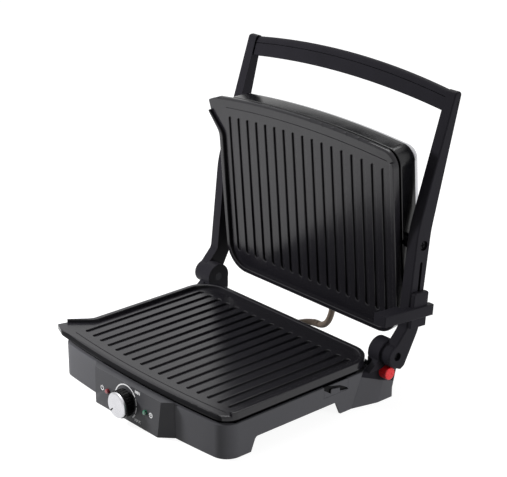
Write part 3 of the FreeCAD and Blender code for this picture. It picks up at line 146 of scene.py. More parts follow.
FLOOR_REACH = 9.0
FLOOR_FADE = (0.30, 0.75)
FLOOR_GLOW = (0.91, 1.0)
mesh = bpy.data.meshes.new("floor")
bm = bmesh.new()
bmesh.ops.create_grid(bm, x_segments=1, y_segments=1, size=FLOOR_REACH)
bm.to_mesh(mesh)
bm.free()
floor = bpy.data.objects.new("floor", mesh)
scene.collection.objects.link(floor)
paper = bpy.data.materials.new("white_paper_sweep")
paper.use_nodes = True
tree = paper.node_tree
tree.nodes.clear()
seen = seen_directly(tree)
place = add_node(tree, "ShaderNodeTexCoord")
reach = add_node(tree, "ShaderNodeVectorMath", {0: place.outputs["Object"]}, operation="LENGTH")
glow = add_node(tree, "ShaderNodeMapRange",
                {"Value": reach.outputs["Value"], "From Min": FLOOR_FADE[0],
                 "From Max": FLOOR_FADE[1], "To Min": FLOOR_GLOW[0], "To Max": FLOOR_GLOW[1]},
                interpolation_type="SMOOTHSTEP")
glow = add_node(tree, "ShaderNodeMath", {0: glow.outputs["Result"], 1: seen},
                operation="MULTIPLY")
matte = add_node(tree, "ShaderNodeBsdfDiffuse", {"Color": tone("#8c8c8c")})
light = add_node(tree, "ShaderNodeEmission", {"Color": (1, 1, 1, 1), "Strength": glow.outputs[0]})
both = add_node(tree, "ShaderNodeAddShader", {0: matte.outputs[0], 1: light.outputs[0]})
add_node(tree, "ShaderNodeOutputMaterial", {"Surface": both.outputs[0]})
floor.data.materials.append(paper)
print("white sweep", FLOOR_REACH * 2, "m wide")

# %% [markdown]
# The light comes from a small box close by at the front left: the front face fades from left to
# right, the knob throws a shadow and the ribs get one bright side. A weaker box at the right rear
# lights the side wall, and one overhead draws the tops of the mouldings. Only the overhead box
# is mirrored: the coating is to show the white sweep and the dark lid, not two hot spots.

# %% Lamps
scene.view_settings.view_transform = "Standard"
LAMPS = {
    "key_front_left": ((-0.62, -0.50, 0.44), 0.12, 10.5),
    "top_soft_box": ((-0.4, 0.5, 1.7), 1.0, 14.0),
    "side_soft_box": ((1.3, 0.5, 0.30), 0.6, 11.0),
}
LAMPS_AIM = Vector((0, 0, 0.15))
for name, (spot, width, power) in LAMPS.items():
    lamp = bpy.data.objects.new(name, bpy.data.lights.new(name, "AREA"))
    lamp.data.shape = "SQUARE"
    lamp.data.size = width
    lamp.data.energy = power
    lamp.visible_camera = False
    lamp.visible_glossy = name == "top_soft_box"
    lamp.location = spot
    aim = LAMPS_AIM - Vector(spot)
    lamp.rotation_euler = aim.to_track_quat("-Z", "Y").to_euler()
    scene.collection.objects.link(lamp)
print("lamps", list(LAMPS))

# %% [markdown]
# A finish starts from one Principled shader. The plastics share one recipe, because they differ
# only in colour, grain and gloss: moulded plastic copies the eroded steel of its mould, so it
# shows a fine even grain, a slight cloudiness and no edge wear.

# %% Moulded plastics
finishes = {}


def start_finish(name, **sockets):
    """A new material with its shader's plain values set; gives the tree, shader and place."""
    material = bpy.data.materials.new(name)
    material.use_nodes = True
    tree = material.node_tree
    shader = tree.nodes["Principled BSDF"]
    for label, value in sockets.items():
        shader.inputs[label.replace("_", " ")].default_value = value
    finishes[name] = material
    return tree, shader, add_node(tree, "ShaderNodeTexCoord").outputs["Object"]


def moulded_plastic(name, dark, pale, grain_mm, grain_depth, rough, sheen_level):
    """Textured plastic: cloudy colour, grain in the bump, uneven gloss."""
    tree, shader, place = start_finish(name)
    shader.inputs["IOR"].default_value = 1.50
    shader.inputs["Specular IOR Level"].default_value = sheen_level
    cloud = add_node(tree, "ShaderNodeTexNoise", {"Vector": place, "Scale": per_mm(28),
                                                  "Detail": 4.0, "Roughness": 0.6})
    colour = add_node(tree, "ShaderNodeMix", {0: cloud.outputs["Fac"], 6: tone(dark),
                                              7: tone(pale)}, data_type="RGBA")
    grain = add_node(tree, "ShaderNodeTexNoise", {"Vector": place, "Scale": per_mm(grain_mm),
                                                  "Detail": 2.0, "Roughness": 0.55})
    gloss = add_node(tree, "ShaderNodeMapRange", {"Value": cloud.outputs["Fac"],
                                                  "From Min": 0.3, "From Max": 0.7,
                                                  "To Min": rough - 0.05, "To Max": rough + 0.05})
    bump = add_node(tree, "ShaderNodeBump", {"Height": grain.outputs["Fac"], "Strength": 1.0,
                                             "Distance": grain_depth * MM})
    tree.links.new(colour.outputs[2], shader.inputs["Base Color"])
    tree.links.new(gloss.outputs["Result"], shader.inputs["Roughness"])
    tree.links.new(bump.outputs["Normal"], shader.inputs["Normal"])


# The housing's grain is drawn at 0.9 mm, three times the real one, so that it shows.
moulded_plastic("spark_textured_abs", "#48484b", "#525256", 0.9, 0.05, 0.52, 0.20)
moulded_plastic("satin_abs_panel", "#3e3e41", "#464649", 0.7, 0.025, 0.45, 0.20)
moulded_plastic("glass_filled_nylon", "#1c1b1f", "#252429", 0.8, 0.04, 0.46, 0.06)
moulded_plastic("black_gloss_abs", "#040405", "#070709", 0.7, 0.02, 0.26, 0.07)
moulded_plastic("black_lid_abs", "#09090b", "#0f0f12", 0.7, 0.015, 0.20, 0.42)
moulded_plastic("red_polypropylene", "#d8161f", "#ea222c", 1.2, 0.02, 0.30, 0.45)
moulded_plastic("black_rubber", "#151516", "#1d1d1f", 0.8, 0.06, 0.72, 0.25)
moulded_plastic("glazed_ceramic", "#d9d4c8", "#e4e0d6", 1.5, 0.02, 0.25, 0.50)
print("plastics", sorted(finishes))

# %% [markdown]
# Non-stick coating is sprayed on the cast plate and baked. It dries with a soft orange-peel
# surface and holds tiny mica flecks, and it mirrors a bright room in long soft streaks. The lip
# at the front edge has a darker, duller finish of its own: painted shade for the dark band
# along the rounded lip.

# %% Non-stick coating
tree, shader, place = start_finish("sprayed_nonstick")
shader.inputs["IOR"].default_value = 1.48
shader.inputs["Specular IOR Level"].default_value = 0.40
peel = add_node(tree, "ShaderNodeTexNoise", {"Vector": place, "Scale": per_mm(1.6),
                                             "Detail": 3.0, "Roughness": 0.5})
fleck = add_node(tree, "ShaderNodeTexVoronoi", {"Vector": place, "Scale": per_mm(0.9),
                                                "Randomness": 1.0})
bright = add_node(tree, "ShaderNodeMapRange", {"Value": fleck.outputs["Distance"],
                                               "From Min": 0.05, "From Max": 0.22,
                                               "To Min": 1.0, "To Max": 0.0})
colour = add_node(tree, "ShaderNodeMix", {0: bright.outputs["Result"], 6: tone("#17161a"),
                                          7: tone("#2c2b31")}, data_type="RGBA")
wear = add_node(tree, "ShaderNodeTexNoise", {"Vector": place, "Scale": per_mm(40),
                                             "Detail": 5.0, "Roughness": 0.65})
gloss = add_node(tree, "ShaderNodeMapRange", {"Value": wear.outputs["Fac"], "From Min": 0.3,
                                              "From Max": 0.7, "To Min": 0.20, "To Max": 0.26})
bump = add_node(tree, "ShaderNodeBump", {"Height": peel.outputs["Fac"], "Strength": 1.0,
                                         "Distance": 0.045 * MM})
tree.links.new(colour.outputs[2], shader.inputs["Base Color"])
tree.links.new(gloss.outputs["Result"], shader.inputs["Roughness"])
tree.links.new(bump.outputs["Normal"], shader.inputs["Normal"])
# The lip's finish is darker and duller than the spray: painted shade for the dark band along the
# front edge.
moulded_plastic("lip_shade_nonstick", "#0b0b0d", "#121214", 0.8, 0.04, 0.50, 0.08)
print("coating ready")

# %% [markdown]
# The lid's cover is a brushed stainless sheet and the knob's cap is turned aluminium. Brushing
# leaves fine parallel scratches; turning leaves rings, which show as two bright fans of light.

# %% Bare metals


def brushed_metal(name, dark, pale, scratch_mm, rough, turn_ratio):
    """Scratched metal: noise stretched along the brushing, in colour, gloss and bump."""
    tree, shader, place = start_finish(name, Metallic=1.0, Anisotropic=turn_ratio)
    scale = tuple(per_mm(s) for s in scratch_mm)
    lay = add_node(tree, "ShaderNodeMapping", {"Vector": place, "Scale": scale})
    scratch = add_node(tree, "ShaderNodeTexNoise", {"Vector": lay.outputs[0], "Scale": 1.0,
                                                    "Detail": 3.0, "Roughness": 0.6})
    colour = add_node(tree, "ShaderNodeMix", {0: scratch.outputs["Fac"], 6: tone(dark),
                                              7: tone(pale)}, data_type="RGBA")
    gloss = add_node(tree, "ShaderNodeMapRange", {"Value": scratch.outputs["Fac"],
                                                  "From Min": 0.3, "From Max": 0.7,
                                                  "To Min": rough - 0.06, "To Max": rough + 0.06})
    bump = add_node(tree, "ShaderNodeBump", {"Height": scratch.outputs["Fac"], "Strength": 1.0,
                                             "Distance": 0.008 * MM})
    tree.links.new(colour.outputs[2], shader.inputs["Base Color"])
    tree.links.new(gloss.outputs["Result"], shader.inputs["Roughness"])
    tree.links.new(bump.outputs["Normal"], shader.inputs["Normal"])


brushed_metal("brushed_stainless", "#a9a9ad", "#c9c9cc", (90, 0.8, 0.8), 0.30, 0.5)
brushed_metal("zinc_plated_steel", "#8f9094", "#b4b5b8", (2.5, 2.5, 2.5), 0.34, 0.0)
brushed_metal("blackened_steel", "#1a1a1c", "#2a2a2d", (3, 3, 3), 0.45, 0.0)
brushed_metal("aluminised_sheet", "#a5a6a8", "#c2c3c5", (12, 12, 12), 0.42, 0.0)

KNOB_CENTRE = at(0, -126.2, 22.5)
tree, shader, place = start_finish("turned_aluminium", Metallic=1.0, Anisotropic=0.8)
away = add_node(tree, "ShaderNodeVectorMath", {0: place, 1: KNOB_CENTRE}, operation="SUBTRACT")
flat = add_node(tree, "ShaderNodeVectorMath", {0: away.outputs[0], 1: (1, 0, 1)},
                operation="MULTIPLY")
reach = add_node(tree, "ShaderNodeVectorMath", {0: flat.outputs[0]}, operation="LENGTH")
rings = add_node(tree, "ShaderNodeTexNoise", {"W": reach.outputs["Value"], "Scale": per_mm(0.5),
                                              "Detail": 2.0}, noise_dimensions="1D")
colour = add_node(tree, "ShaderNodeMix", {0: rings.outputs["Fac"], 6: tone("#b9b9bd"),
                                          7: tone("#d9d9dc")}, data_type="RGBA")
gloss = add_node(tree, "ShaderNodeMapRange", {"Value": rings.outputs["Fac"], "From Min": 0.3,
                                              "From Max": 0.7, "To Min": 0.22, "To Max": 0.34})
around = add_node(tree, "ShaderNodeVectorMath", {0: flat.outputs[0], 1: (0, 1, 0)},
                  operation="CROSS_PRODUCT")
grain = add_node(tree, "ShaderNodeVectorTransform", {0: around.outputs[0]}, vector_type="VECTOR",
                 convert_from="OBJECT", convert_to="WORLD")
tree.links.new(colour.outputs[2], shader.inputs["Base Color"])
tree.links.new(gloss.outputs["Result"], shader.inputs["Roughness"])
tree.links.new(grain.outputs[0], shader.inputs["Tangent"])
print("metals ready")

# %% [markdown]
# The two pilot lamps have coloured acrylic lenses and are not lit here. A cloudy colour under a
# glossy coat stands in for the depth of the lens.

# %% Lamp lenses
for name, dark, pale in (("red_acrylic_lens", "#6d0d18", "#a51e2b"),
                         ("green_acrylic_lens", "#0d4a37", "#1c7a58")):
    tree, shader, place = start_finish(name, Roughness=0.16, Coat_Weight=0.6)
    shader.inputs["IOR"].default_value = 1.49
    depth = add_node(tree, "ShaderNodeTexNoise", {"Vector": place, "Scale": per_mm(2.0),
                                                  "Detail": 2.0})
    colour = add_node(tree, "ShaderNodeMix", {0: depth.outputs["Fac"], 6: tone(dark),
                                              7: tone(pale)}, data_type="RGBA")
    tree.links.new(colour.outputs[2], shader.inputs["Base Color"])
print("lenses ready")

# %% [markdown]
# The dial's marks are screen-printed: a thin matte white ink with slightly uneven cover.

# %% Screen ink
tree, shader, place = start_finish("white_screen_ink", Roughness=0.55)
cover = add_node(tree, "ShaderNodeTexNoise", {"Vector": place, "Scale": per_mm(1.2), "Detail": 3.0})
colour = add_node(tree, "ShaderNodeMix", {0: cover.outputs["Fac"], 6: tone("#e2e2e4"),
                                          7: tone("#f8f8f8")}, data_type="RGBA")
tree.links.new(colour.outputs[2], shader.inputs["Base Color"])
print("ink ready")

# %% [markdown]
# The cable's sleeve is braided from glass yarn and varnished brown. The braid follows the tube,
# so its diamonds are drawn in the tube's own map: once round it, and along its length.

# %% Braided sleeve
YARN_TURNS = 10.0
YARN_RUNS = 26.0
tree, shader, place = start_finish("glass_fibre_sleeve", Roughness=0.62)
shader.inputs["Specular IOR Level"].default_value = 0.3
around = add_node(tree, "ShaderNodeTexCoord").outputs["UV"]
weave = []
for lean in (1.0, -1.0):
    lay = add_node(tree, "ShaderNodeVectorMath", {0: around, 1: (YARN_RUNS, YARN_TURNS * lean, 0)},
                   operation="DOT_PRODUCT")
    turn = add_node(tree, "ShaderNodeMath", {0: lay.outputs["Value"], 1: 2 * math.pi},
                    operation="MULTIPLY")
    weave.append(add_node(tree, "ShaderNodeMath", {0: turn.outputs[0]}, operation="SINE"))
yarn = add_node(tree, "ShaderNodeMath", {0: weave[0].outputs[0], 1: weave[1].outputs[0]},
                operation="MULTIPLY")
yarn = add_node(tree, "ShaderNodeMapRange", {"Value": yarn.outputs[0], "From Min": -1.0})
colour = add_node(tree, "ShaderNodeMix", {0: yarn.outputs["Result"], 6: tone("#4a4039"),
                                          7: tone("#84776b")}, data_type="RGBA")
bump = add_node(tree, "ShaderNodeBump", {"Height": yarn.outputs["Result"], "Strength": 1.0,
                                         "Distance": 0.25 * MM})
tree.links.new(colour.outputs[2], shader.inputs["Base Color"])
tree.links.new(bump.outputs["Normal"], shader.inputs["Normal"])
print("sleeve ready")

# %% [markdown]
# Each solid that shows takes the finish of the real piece.

# %% Dress the solids
DRESS = {
    "spark_textured_abs": ("base_housing", "hinge_bracket_right", "hinge_bracket_left"),
    "satin_abs_panel": ("control_panel",),
    "glass_filled_nylon": ("left_arm", "right_arm", "grip_front", "grip_back", "lock_slider",
                           "bottom_cover"),
    "black_gloss_abs": ("knob_body", "lock_keeper", "base_cable_gland", "lid_cable_gland",
                        "cord_gland"),
    "black_lid_abs": ("lid_frame",),
    "red_polypropylene": ("release_button",),
    "black_rubber": ("rubber_feet",),
    "glazed_ceramic": ("terminal_block",),
    "sprayed_nonstick": ("lower_plate", "upper_plate"),
    "brushed_stainless": ("lid_cover",),
    "turned_aluminium": ("knob_cap",),
    "zinc_plated_steel": ("base_screws", "thermostat", "thermostat_shaft",
                          "lower_heater", "upper_heater"),
    "blackened_steel": ("slider_rivet", "hinge_pins", "handle_screws", "lid_pivot_screws"),
    "aluminised_sheet": ("lower_reflector", "upper_reflector"),
    "red_acrylic_lens": ("red_lamp",),
    "green_acrylic_lens": ("green_lamp",),
}
for finish, names in DRESS.items():
    for name in names:
        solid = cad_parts[name]
        solid.data.materials.clear()
        solid.data.materials.append(finishes[finish])
print("dressed", sum(len(n) for n in DRESS.values()), "of", len(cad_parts), "solids")

# %% [markdown]
# The link cable feeds the lid's heater. On the real grill it is a stiff lead in a brown glass-fibre
# sleeve that bows out behind the hinge, so that the lid can swing. Its line is a smooth NURBS
# through the drawing's four route points. The lid turns on the arms and the arms turn on the
# base, so the tube is cut in the middle: one half runs from base to arms and the other from arms
# to lid, and a short shrink sleeve covers the joint.

# %% Link cable
CABLE_RADIUS = 3.9 * MM
CABLE_ROUTE = [at(-22, 123.7, 28), at(-22, 166, 28), at(20, 166, 28), at(20, 170.34, 63.37)]
CABLE_STEPS = 48
COVER_REACH = 8
COVER_WALL = 0.35 * MM


def open_curve(name, kind, spots):
    """A 3D curve of one open spline through or near the given points."""
    curve = bpy.data.curves.new(name, "CURVE")
    curve.dimensions = "3D"
    spline = curve.splines.new(kind)
    spline.points.add(len(spots) - 1)
    for knot, spot in zip(spline.points, spots):
        knot.co = (*spot, 1.0)
    return curve, spline


def curve_mesh(name, curve):
    """The mesh that a curve shows, with the curve itself thrown away."""
    holder = bpy.data.objects.new(name, curve)
    mesh = bpy.data.meshes.new_from_object(holder)
    bpy.data.objects.remove(holder)
    return mesh


def tube(name, spots, radius, finish):
    """A round closed tube that follows the given points."""
    curve, spline = open_curve(name, "POLY", spots)
    curve.bevel_depth = radius
    curve.bevel_resolution = 6
    curve.use_fill_caps = True
    mesh = curve_mesh(name, curve)
    mesh.materials.append(finishes[finish])
    for face in mesh.polygons:
        face.use_smooth = True
    piece = bpy.data.objects.new(name, mesh)
    scene.collection.objects.link(piece)
    return piece


def run_length(spots):
    """The length of a line of points."""
    return sum((b - a).length for a, b in zip(spots, spots[1:]))


curve, spline = open_curve("cable_line", "NURBS", CABLE_ROUTE)
spline.order_u = 3
spline.use_endpoint_u = True
spline.resolution_u = CABLE_STEPS
cable_line = [v.co.copy() for v in curve_mesh("cable_line", curve).vertices]
middle = min(range(len(cable_line)), key=lambda i: abs(run_length(cable_line[:i + 1])
                                                       - run_length(cable_line[i:])))
lower_line, upper_line = cable_line[:middle + 1], cable_line[middle:]
lower_cable = tube("link_cable_lower", lower_line, CABLE_RADIUS, "glass_fibre_sleeve")
upper_cable = tube("link_cable_upper", upper_line, CABLE_RADIUS, "glass_fibre_sleeve")
cover_line = cable_line[middle - COVER_REACH:middle + COVER_REACH + 1]
cable_sleeve = tube("link_cable_sleeve", cover_line, CABLE_RADIUS + COVER_WALL, "glass_fibre_sleeve")
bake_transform(lower_cable)
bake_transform(upper_cable)
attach(cable_sleeve, "arms")
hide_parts("link_cable")
print("cable", round(run_length(cable_line) / MM), "mm long")

# %% [markdown]
# A solid's edges are dead sharp where the real mouldings are a little round, and only a round edge
# catches a line of light. Loops cut by hand would do it, but a merged copy of the solid with a
# Bevel modifier gives that line with one number to change.

# %% Rounded edges
EDGE_ANGLE = math.radians(32)
FLAT_ANGLE = math.radians(0.4)
JOIN_GAP = 0.002 * MM


def new_piece(name, bm, body, slot, *finish_names):
    """A finished object from a bmesh, shaded smooth with its sharp edges kept."""
    for edge in bm.edges:
        edge.smooth = edge.calc_face_angle(0.0) < EDGE_ANGLE
    for face in bm.faces:
        face.smooth = True
    mesh = bpy.data.meshes.new(name)
    bm.to_mesh(mesh)
    bm.free()
    for finish in finish_names:
        mesh.materials.append(finishes[finish])
    piece = bpy.data.objects.new(name, mesh)
    scene.collection.objects.link(piece)
    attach(piece, body)
    return piece


def merged_copy(node):
    """A solid's mesh with its loose triangles joined and its flat faces made whole."""
    bm = bmesh.new()
    bm.from_mesh(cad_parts[node].data)
    bmesh.ops.remove_doubles(bm, verts=bm.verts, dist=JOIN_GAP)
    bmesh.ops.dissolve_limit(bm, angle_limit=FLAT_ANGLE, verts=bm.verts, edges=bm.edges)
    return bm


def round_edges(piece, width, steps=3):
    """A Bevel modifier on the edges that turn sharply."""
    bevel = piece.modifiers.new("rounded_edges", "BEVEL")
    bevel.width = width * MM
    bevel.segments = steps
    bevel.limit_method = "ANGLE"
    bevel.angle_limit = EDGE_ANGLE
    bevel.harden_normals = True


def even_shading(piece):
    """Flat faces keep flat shading and the rounds between them take the turn of light."""
    piece.modifiers.new("even_shading", "WEIGHTED_NORMAL").keep_sharp = True


SOFT_EDGES = {
    "base_housing": (0.9, "base", "grey_plastic", "spark_textured_abs"),
    "control_panel": (0.7, "base", "panel_plastic", "satin_abs_panel"),
    "lock_slider": (1.2, "slider", "black_plastic", "glass_filled_nylon"),
}
for node, (width, body, slot, finish) in SOFT_EDGES.items():
    piece = new_piece(f"{node}_soft", merged_copy(node), body, slot, finish)
    round_edges(piece, width)
    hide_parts(node)
print("rounded", len(SOFT_EDGES), "solids")

# %% [markdown]
# Both plates are copied too, so that their rounds shade evenly. The front edge of the lower plate
# is rolled over further than the solid's small round: fat and crumbs run off it. A wide bevel
# would break the fine faces that are there already, so the strip along the edge is sliced finely
# and each row is lowered along a quarter ellipse. The foremost part takes a darker, duller
# finish: painted shade for the dark band along the lip.

# %% Plates and front lip
LAND = 51.0
LIP_WALL, LIP_TURN, LAND_SLACK = 47.0, 47.9, 0.05
LIP_BACK = -106.0
LIP_DEPTH, LIP_DROP, LIP_SHADE_REACH = 7.5, 3.8, 3.02
LIP_ROW, LIP_ROWS = 1.2, 9
LIP_SLICE, LIP_SLICES = 6, 25
LIP_LEAN = -0.15


def front_lip(bm):
    """A plate's front edge cut finely, rolled over along a quarter ellipse and painted darker there
    as shade.
    """
    walls = BVHTree.FromBMesh(bm)
    limit = at(0, LIP_BACK, 0).y

    def behind_edge(spot):
        """How far a spot lies behind the front edge, in millimetres."""
        start = at(0, -200, LIP_WALL)
        start.x = spot.x
        edge = walls.ray_cast(start, Vector((0, 1, 0)))[0]
        return (spot.y - edge.y) / MM if edge else LIP_DEPTH

    cuts = [(at(0, LIP_BACK - LIP_ROW * step, 0), (0, 1, 0)) for step in range(LIP_ROWS)]
    cuts += [(at(LIP_SLICE * step, 0, 0), (1, 0, 0)) for step in range(-LIP_SLICES, LIP_SLICES + 1)]
    for spot, way in cuts:
        near = {face for vert in bm.verts if vert.co.y < limit for face in vert.link_faces}
        geom = list(near) + list({edge for face in near for edge in face.edges})
        geom += list({vert for face in near for vert in face.verts})
        bmesh.ops.bisect_plane(bm, geom=geom, dist=1e-7, plane_co=spot, plane_no=way)
    for vert in bm.verts:
        if vert.co.y < limit and LIP_TURN < vert.co.z / MM < LAND + LAND_SLACK:
            share = 1 - behind_edge(vert.co) / LIP_DEPTH
            roll = LIP_DROP * (1 - math.sqrt(1 - min(max(share, 0), 1) ** 2))
            vert.co.z = min(vert.co.z, (LAND - roll) * MM)
    bm.normal_update()
    for face in bm.faces:
        middle = face.calc_center_median()
        # Faces near the front edge take the darker second finish, painted shade along the lip.
        if middle.y < limit and face.normal.y < LIP_LEAN:
            face.material_index = int(behind_edge(middle) < LIP_SHADE_REACH)


for node, body, finish_names in (
        ("lower_plate", "base", ("sprayed_nonstick", "lip_shade_nonstick")),
        ("upper_plate", "lid", ("sprayed_nonstick",))):
    bm = merged_copy(node)
    if node == "lower_plate":
        front_lip(bm)
    piece = new_piece(f"{node}_soft", bm, body, "nonstick_plate", *finish_names)
    even_shading(piece)
    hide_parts(node)
print("front lip rolled over", LIP_DEPTH, "mm")

# %% [markdown]
# The hinge brackets are two mouldings in one solid: grey below, like the base, and black above.
# Two solids would be the other way, but here a copy is cut along a sloping line and painted on
# both sides of it. The lid's black frame reaches a little way over the edge of the steel cover, and
# the cover's copy is painted so.

# %% Two-coloured mouldings
BRACKET_CUT = at(155, 91, 35.5), Vector((0, 13, 38)).normalized()
BRACKET_ROUND = 1.8
COVER_CUT = at(0, 176, 183.2), Vector((0, 0.9969, 0.0785))


def two_toned(node, spot, way):
    """A merged copy cut along a plane, with the second finish on the side the plane looks to."""
    bm = merged_copy(node)
    bmesh.ops.bisect_plane(bm, geom=bm.verts[:] + bm.edges[:] + bm.faces[:], dist=1e-7,
                           plane_co=spot, plane_no=way)
    for face in bm.faces:
        face.material_index = int((face.calc_center_median() - spot).dot(way) > 0)
    return bm


for node in ("hinge_bracket_right", "hinge_bracket_left"):
    piece = new_piece(f"{node}_soft", two_toned(node, *BRACKET_CUT), "base", "grey_plastic",
                      "spark_textured_abs", "glass_filled_nylon")
    round_edges(piece, BRACKET_ROUND)
    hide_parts(node)
cover = new_piece("lid_cover_soft", two_toned("lid_cover", *COVER_CUT), "lid", "cover_steel",
                  "black_lid_abs", "brushed_stainless")
even_shading(cover)
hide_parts("lid_cover")
print("painted", len(cover.data.polygons), "faces of the cover in two finishes")

# %% [markdown]
# White marks are printed round the dial: a line that runs over the top, two dashes, a wedge at the
# hot end, and small signs by the lamps. A picture on the face would be the quick way, but it blurs
# close by. Each mark is a flat band laid out on the face's own plane, given the thickness of an ink
# film and then put on the raked face. The cap has a short dark pointer, made the same way.

# %% Printed marks
DIAL_LEVEL = 22.5


def face_place(node, side, low, high):
    """The plane of a front face about the dial's axis, found with two rays from the front."""
    bm = merged_copy(node)
    faces = BVHTree.FromBMesh(bm)
    bm.free()
    foot, head = (faces.ray_cast(at(side, -200, level), Vector((0, 1, 0)))[0]
                  for level in (low, high))
    lean = (head - foot).normalized()
    out = Vector((1, 0, 0)).cross(lean)
    centre = foot.lerp(head, (DIAL_LEVEL - low) / (high - low)) - Vector((side * MM, 0, 0))
    return Matrix.Translation(centre) @ Matrix((Vector((1, 0, 0)), lean, out)).transposed().to_4x4()


INK = 0.10
DIAL_RADIUS = 19.4
DIAL_CENTRE = (-1.7, -0.4)
DIAL_LINE = 1.3
POINTER_TURN = math.radians(223)
DIAL_BANDS = [(190, 34), (29, 5), (-1, -24)]
DIAL_WEDGE = (-29, -48)
WORDS = {"MIN": (18.6, 17.0), "MAX": (20.5, -15.8)}
WORD_HEIGHT = 5.0
SIGN_RING = (2.0, 3.0)
POINTER_FROM, POINTER_TO, POINTER_HALF = 8.5, 13.2, 0.6


def band(bm, centre, inner, outer, start, end):
    """A flat ring sector about a centre, from one angle to another, in millimetres."""
    heading = Vector((math.cos(math.radians(start)), math.sin(math.radians(start)), 0))
    ends = [bm.verts.new((Vector((*centre, 0)) + heading * r) * MM) for r in (inner, outer)]
    line = bm.edges.new(ends)
    sweep = math.radians(end - start)
    steps = max(3, round(abs(end - start) / 5))
    full = abs(abs(end - start) - 360) < 1
    bmesh.ops.spin(bm, geom=ends + [line], cent=Vector((*centre, 0)) * MM, axis=(0, 0, 1),
                   angle=sweep, steps=steps, use_merge=full)


def strip(bm, spots):
    """A flat face through the given corners, in millimetres."""
    bm.faces.new([bm.verts.new(Vector((x, y, 0)) * MM) for x, y in spots])


def lettered(bm, words, spot, height):
    """A short word in the plain built-in typeface, centred on a spot."""
    curve = bpy.data.curves.new(words, "FONT")
    curve.body = words
    curve.size = height * MM
    curve.offset = 0.03 * height * MM
    curve.align_x = "CENTER"
    curve.align_y = "CENTER"
    mesh = curve_mesh(words, curve)
    mesh.transform(Matrix.Translation(Vector((*spot, 0)) * MM))
    bm.from_mesh(mesh)
    bpy.data.meshes.remove(mesh)


def lay_ink(bm, place):
    """Flat shapes made as thick as an ink film and put on a face, with their feet on it."""
    bm.normal_update()
    bmesh.ops.reverse_faces(bm, faces=[face for face in bm.faces if face.normal.z < 0])
    bmesh.ops.solidify(bm, geom=bm.faces[:], thickness=INK * MM)
    seat = min(vert.co.z for vert in bm.verts)
    bmesh.ops.translate(bm, verts=bm.verts, vec=(0, 0, -seat))
    bmesh.ops.transform(bm, matrix=place, verts=bm.verts)
    bmesh.ops.recalc_face_normals(bm, faces=bm.faces)


bm = bmesh.new()
half = DIAL_LINE / 2
for start, end in DIAL_BANDS:
    band(bm, DIAL_CENTRE, DIAL_RADIUS - half, DIAL_RADIUS + half, start, end)
band(bm, DIAL_CENTRE, DIAL_RADIUS - half, DIAL_RADIUS + 2 * half, *DIAL_WEDGE)
for word, spot in WORDS.items():
    lettered(bm, word, spot, WORD_HEIGHT)
band(bm, (-44.7, 0.2), *SIGN_RING, 120, 420)
strip(bm, [(-45.1, 0.4), (-44.3, 0.4), (-44.3, 3.6), (-45.1, 3.6)])
band(bm, (43.2, -0.4), *SIGN_RING, 0, 360)
strip(bm, [(42.8, -0.8), (43.6, -0.8), (43.6, 1.2), (42.8, 1.2)])
strip(bm, [(43.6, -0.8), (44.8, -0.8), (44.8, -0.1), (43.6, -0.1)])
lay_ink(bm, face_place("control_panel", 24, 8, 38))
marks = new_piece("dial_print", bm, "base", "panel_plastic", "white_screen_ink")
bm = bmesh.new()
along = Vector((math.cos(POINTER_TURN), math.sin(POINTER_TURN)))
across = Vector((-along.y, along.x)) * POINTER_HALF
strip(bm, [along * POINTER_FROM - across, along * POINTER_TO - across,
           along * POINTER_TO + across, along * POINTER_FROM + across])
lay_ink(bm, face_place("knob_cap", 6, 16, 29))
new_piece("dial_pointer", bm, "knob", "knob_plastic", "black_gloss_abs")
print("printed marks:", len(marks.data.polygons), "faces")

# %% [markdown]
# The grip is two mouldings that clip together, and the seam between them runs along the front,
# a third of the way down, with a round top above it. The front half is drawn anew: one outline
# with the seam as a small notch, repeated along the bow of the bar and joined up.

# %% Grip front
GRIP_HALF = 155.6
GRIP_PLACE = Matrix.Translation(at(0, 199.5, 326)) @ Matrix.Rotation(math.radians(71), 4, "X")
GRIP_STEPS = 28
GRIP_BACK, GRIP_FRONT = -2.0, 2.5
GRIP_HEIGHT = 24
GRIP_LOW_BOW, GRIP_TOP_BOW = 1300, 1120
GRIP_ROUND = 1.6
GRIP_SEAM = 0.64
GRIP_NOTCH, GRIP_NOTCH_DEEP = 0.45, 1.2


def bowed(x, radius):
    """How far an arc over the whole bar stands above its ends at this width."""
    return math.sqrt(radius ** 2 - x ** 2) - math.sqrt(radius ** 2 - GRIP_HALF ** 2)


def grip_section(x):
    """The front half's outline at one width, as depth and height."""
    low, top = bowed(x, GRIP_LOW_BOW), GRIP_HEIGHT + bowed(x, GRIP_TOP_BOW)
    seam = low + GRIP_SEAM * (top - low)
    spots = [(GRIP_BACK, low)]
    for turn in range(5):
        angle = math.radians(-90 + 22.5 * turn)
        spots.append((GRIP_FRONT - GRIP_ROUND + GRIP_ROUND * math.cos(angle),
                      low + GRIP_ROUND + GRIP_ROUND * math.sin(angle)))
    spots += [(GRIP_FRONT, seam - GRIP_NOTCH), (GRIP_FRONT - GRIP_NOTCH_DEEP, seam)]
    base = seam + GRIP_NOTCH
    for turn in range(9):
        angle = math.radians(11.25 * turn)
        spots.append((GRIP_BACK + (GRIP_FRONT - GRIP_BACK) * math.cos(angle),
                      base + (top - base) * math.sin(angle)))
    return spots


bm = bmesh.new()
rings = []
for step in range(GRIP_STEPS + 1):
    x = GRIP_HALF * (2 * step / GRIP_STEPS - 1)
    rings.append([bm.verts.new(GRIP_PLACE @ (Vector((x, height, depth)) * MM))
                  for depth, height in grip_section(x)])
for near, far in zip(rings, rings[1:]):
    for i in range(len(near)):
        bm.faces.new((near[i - 1], near[i], far[i], far[i - 1]))
bm.faces.new(rings[0])
bm.faces.new(rings[-1])
bmesh.ops.recalc_face_normals(bm, faces=bm.faces)
grip = new_piece("grip_front_shell", bm, "arms", "black_plastic", "glass_filled_nylon")
even_shading(grip)
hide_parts("grip_front")
print("grip in", GRIP_STEPS, "steps")
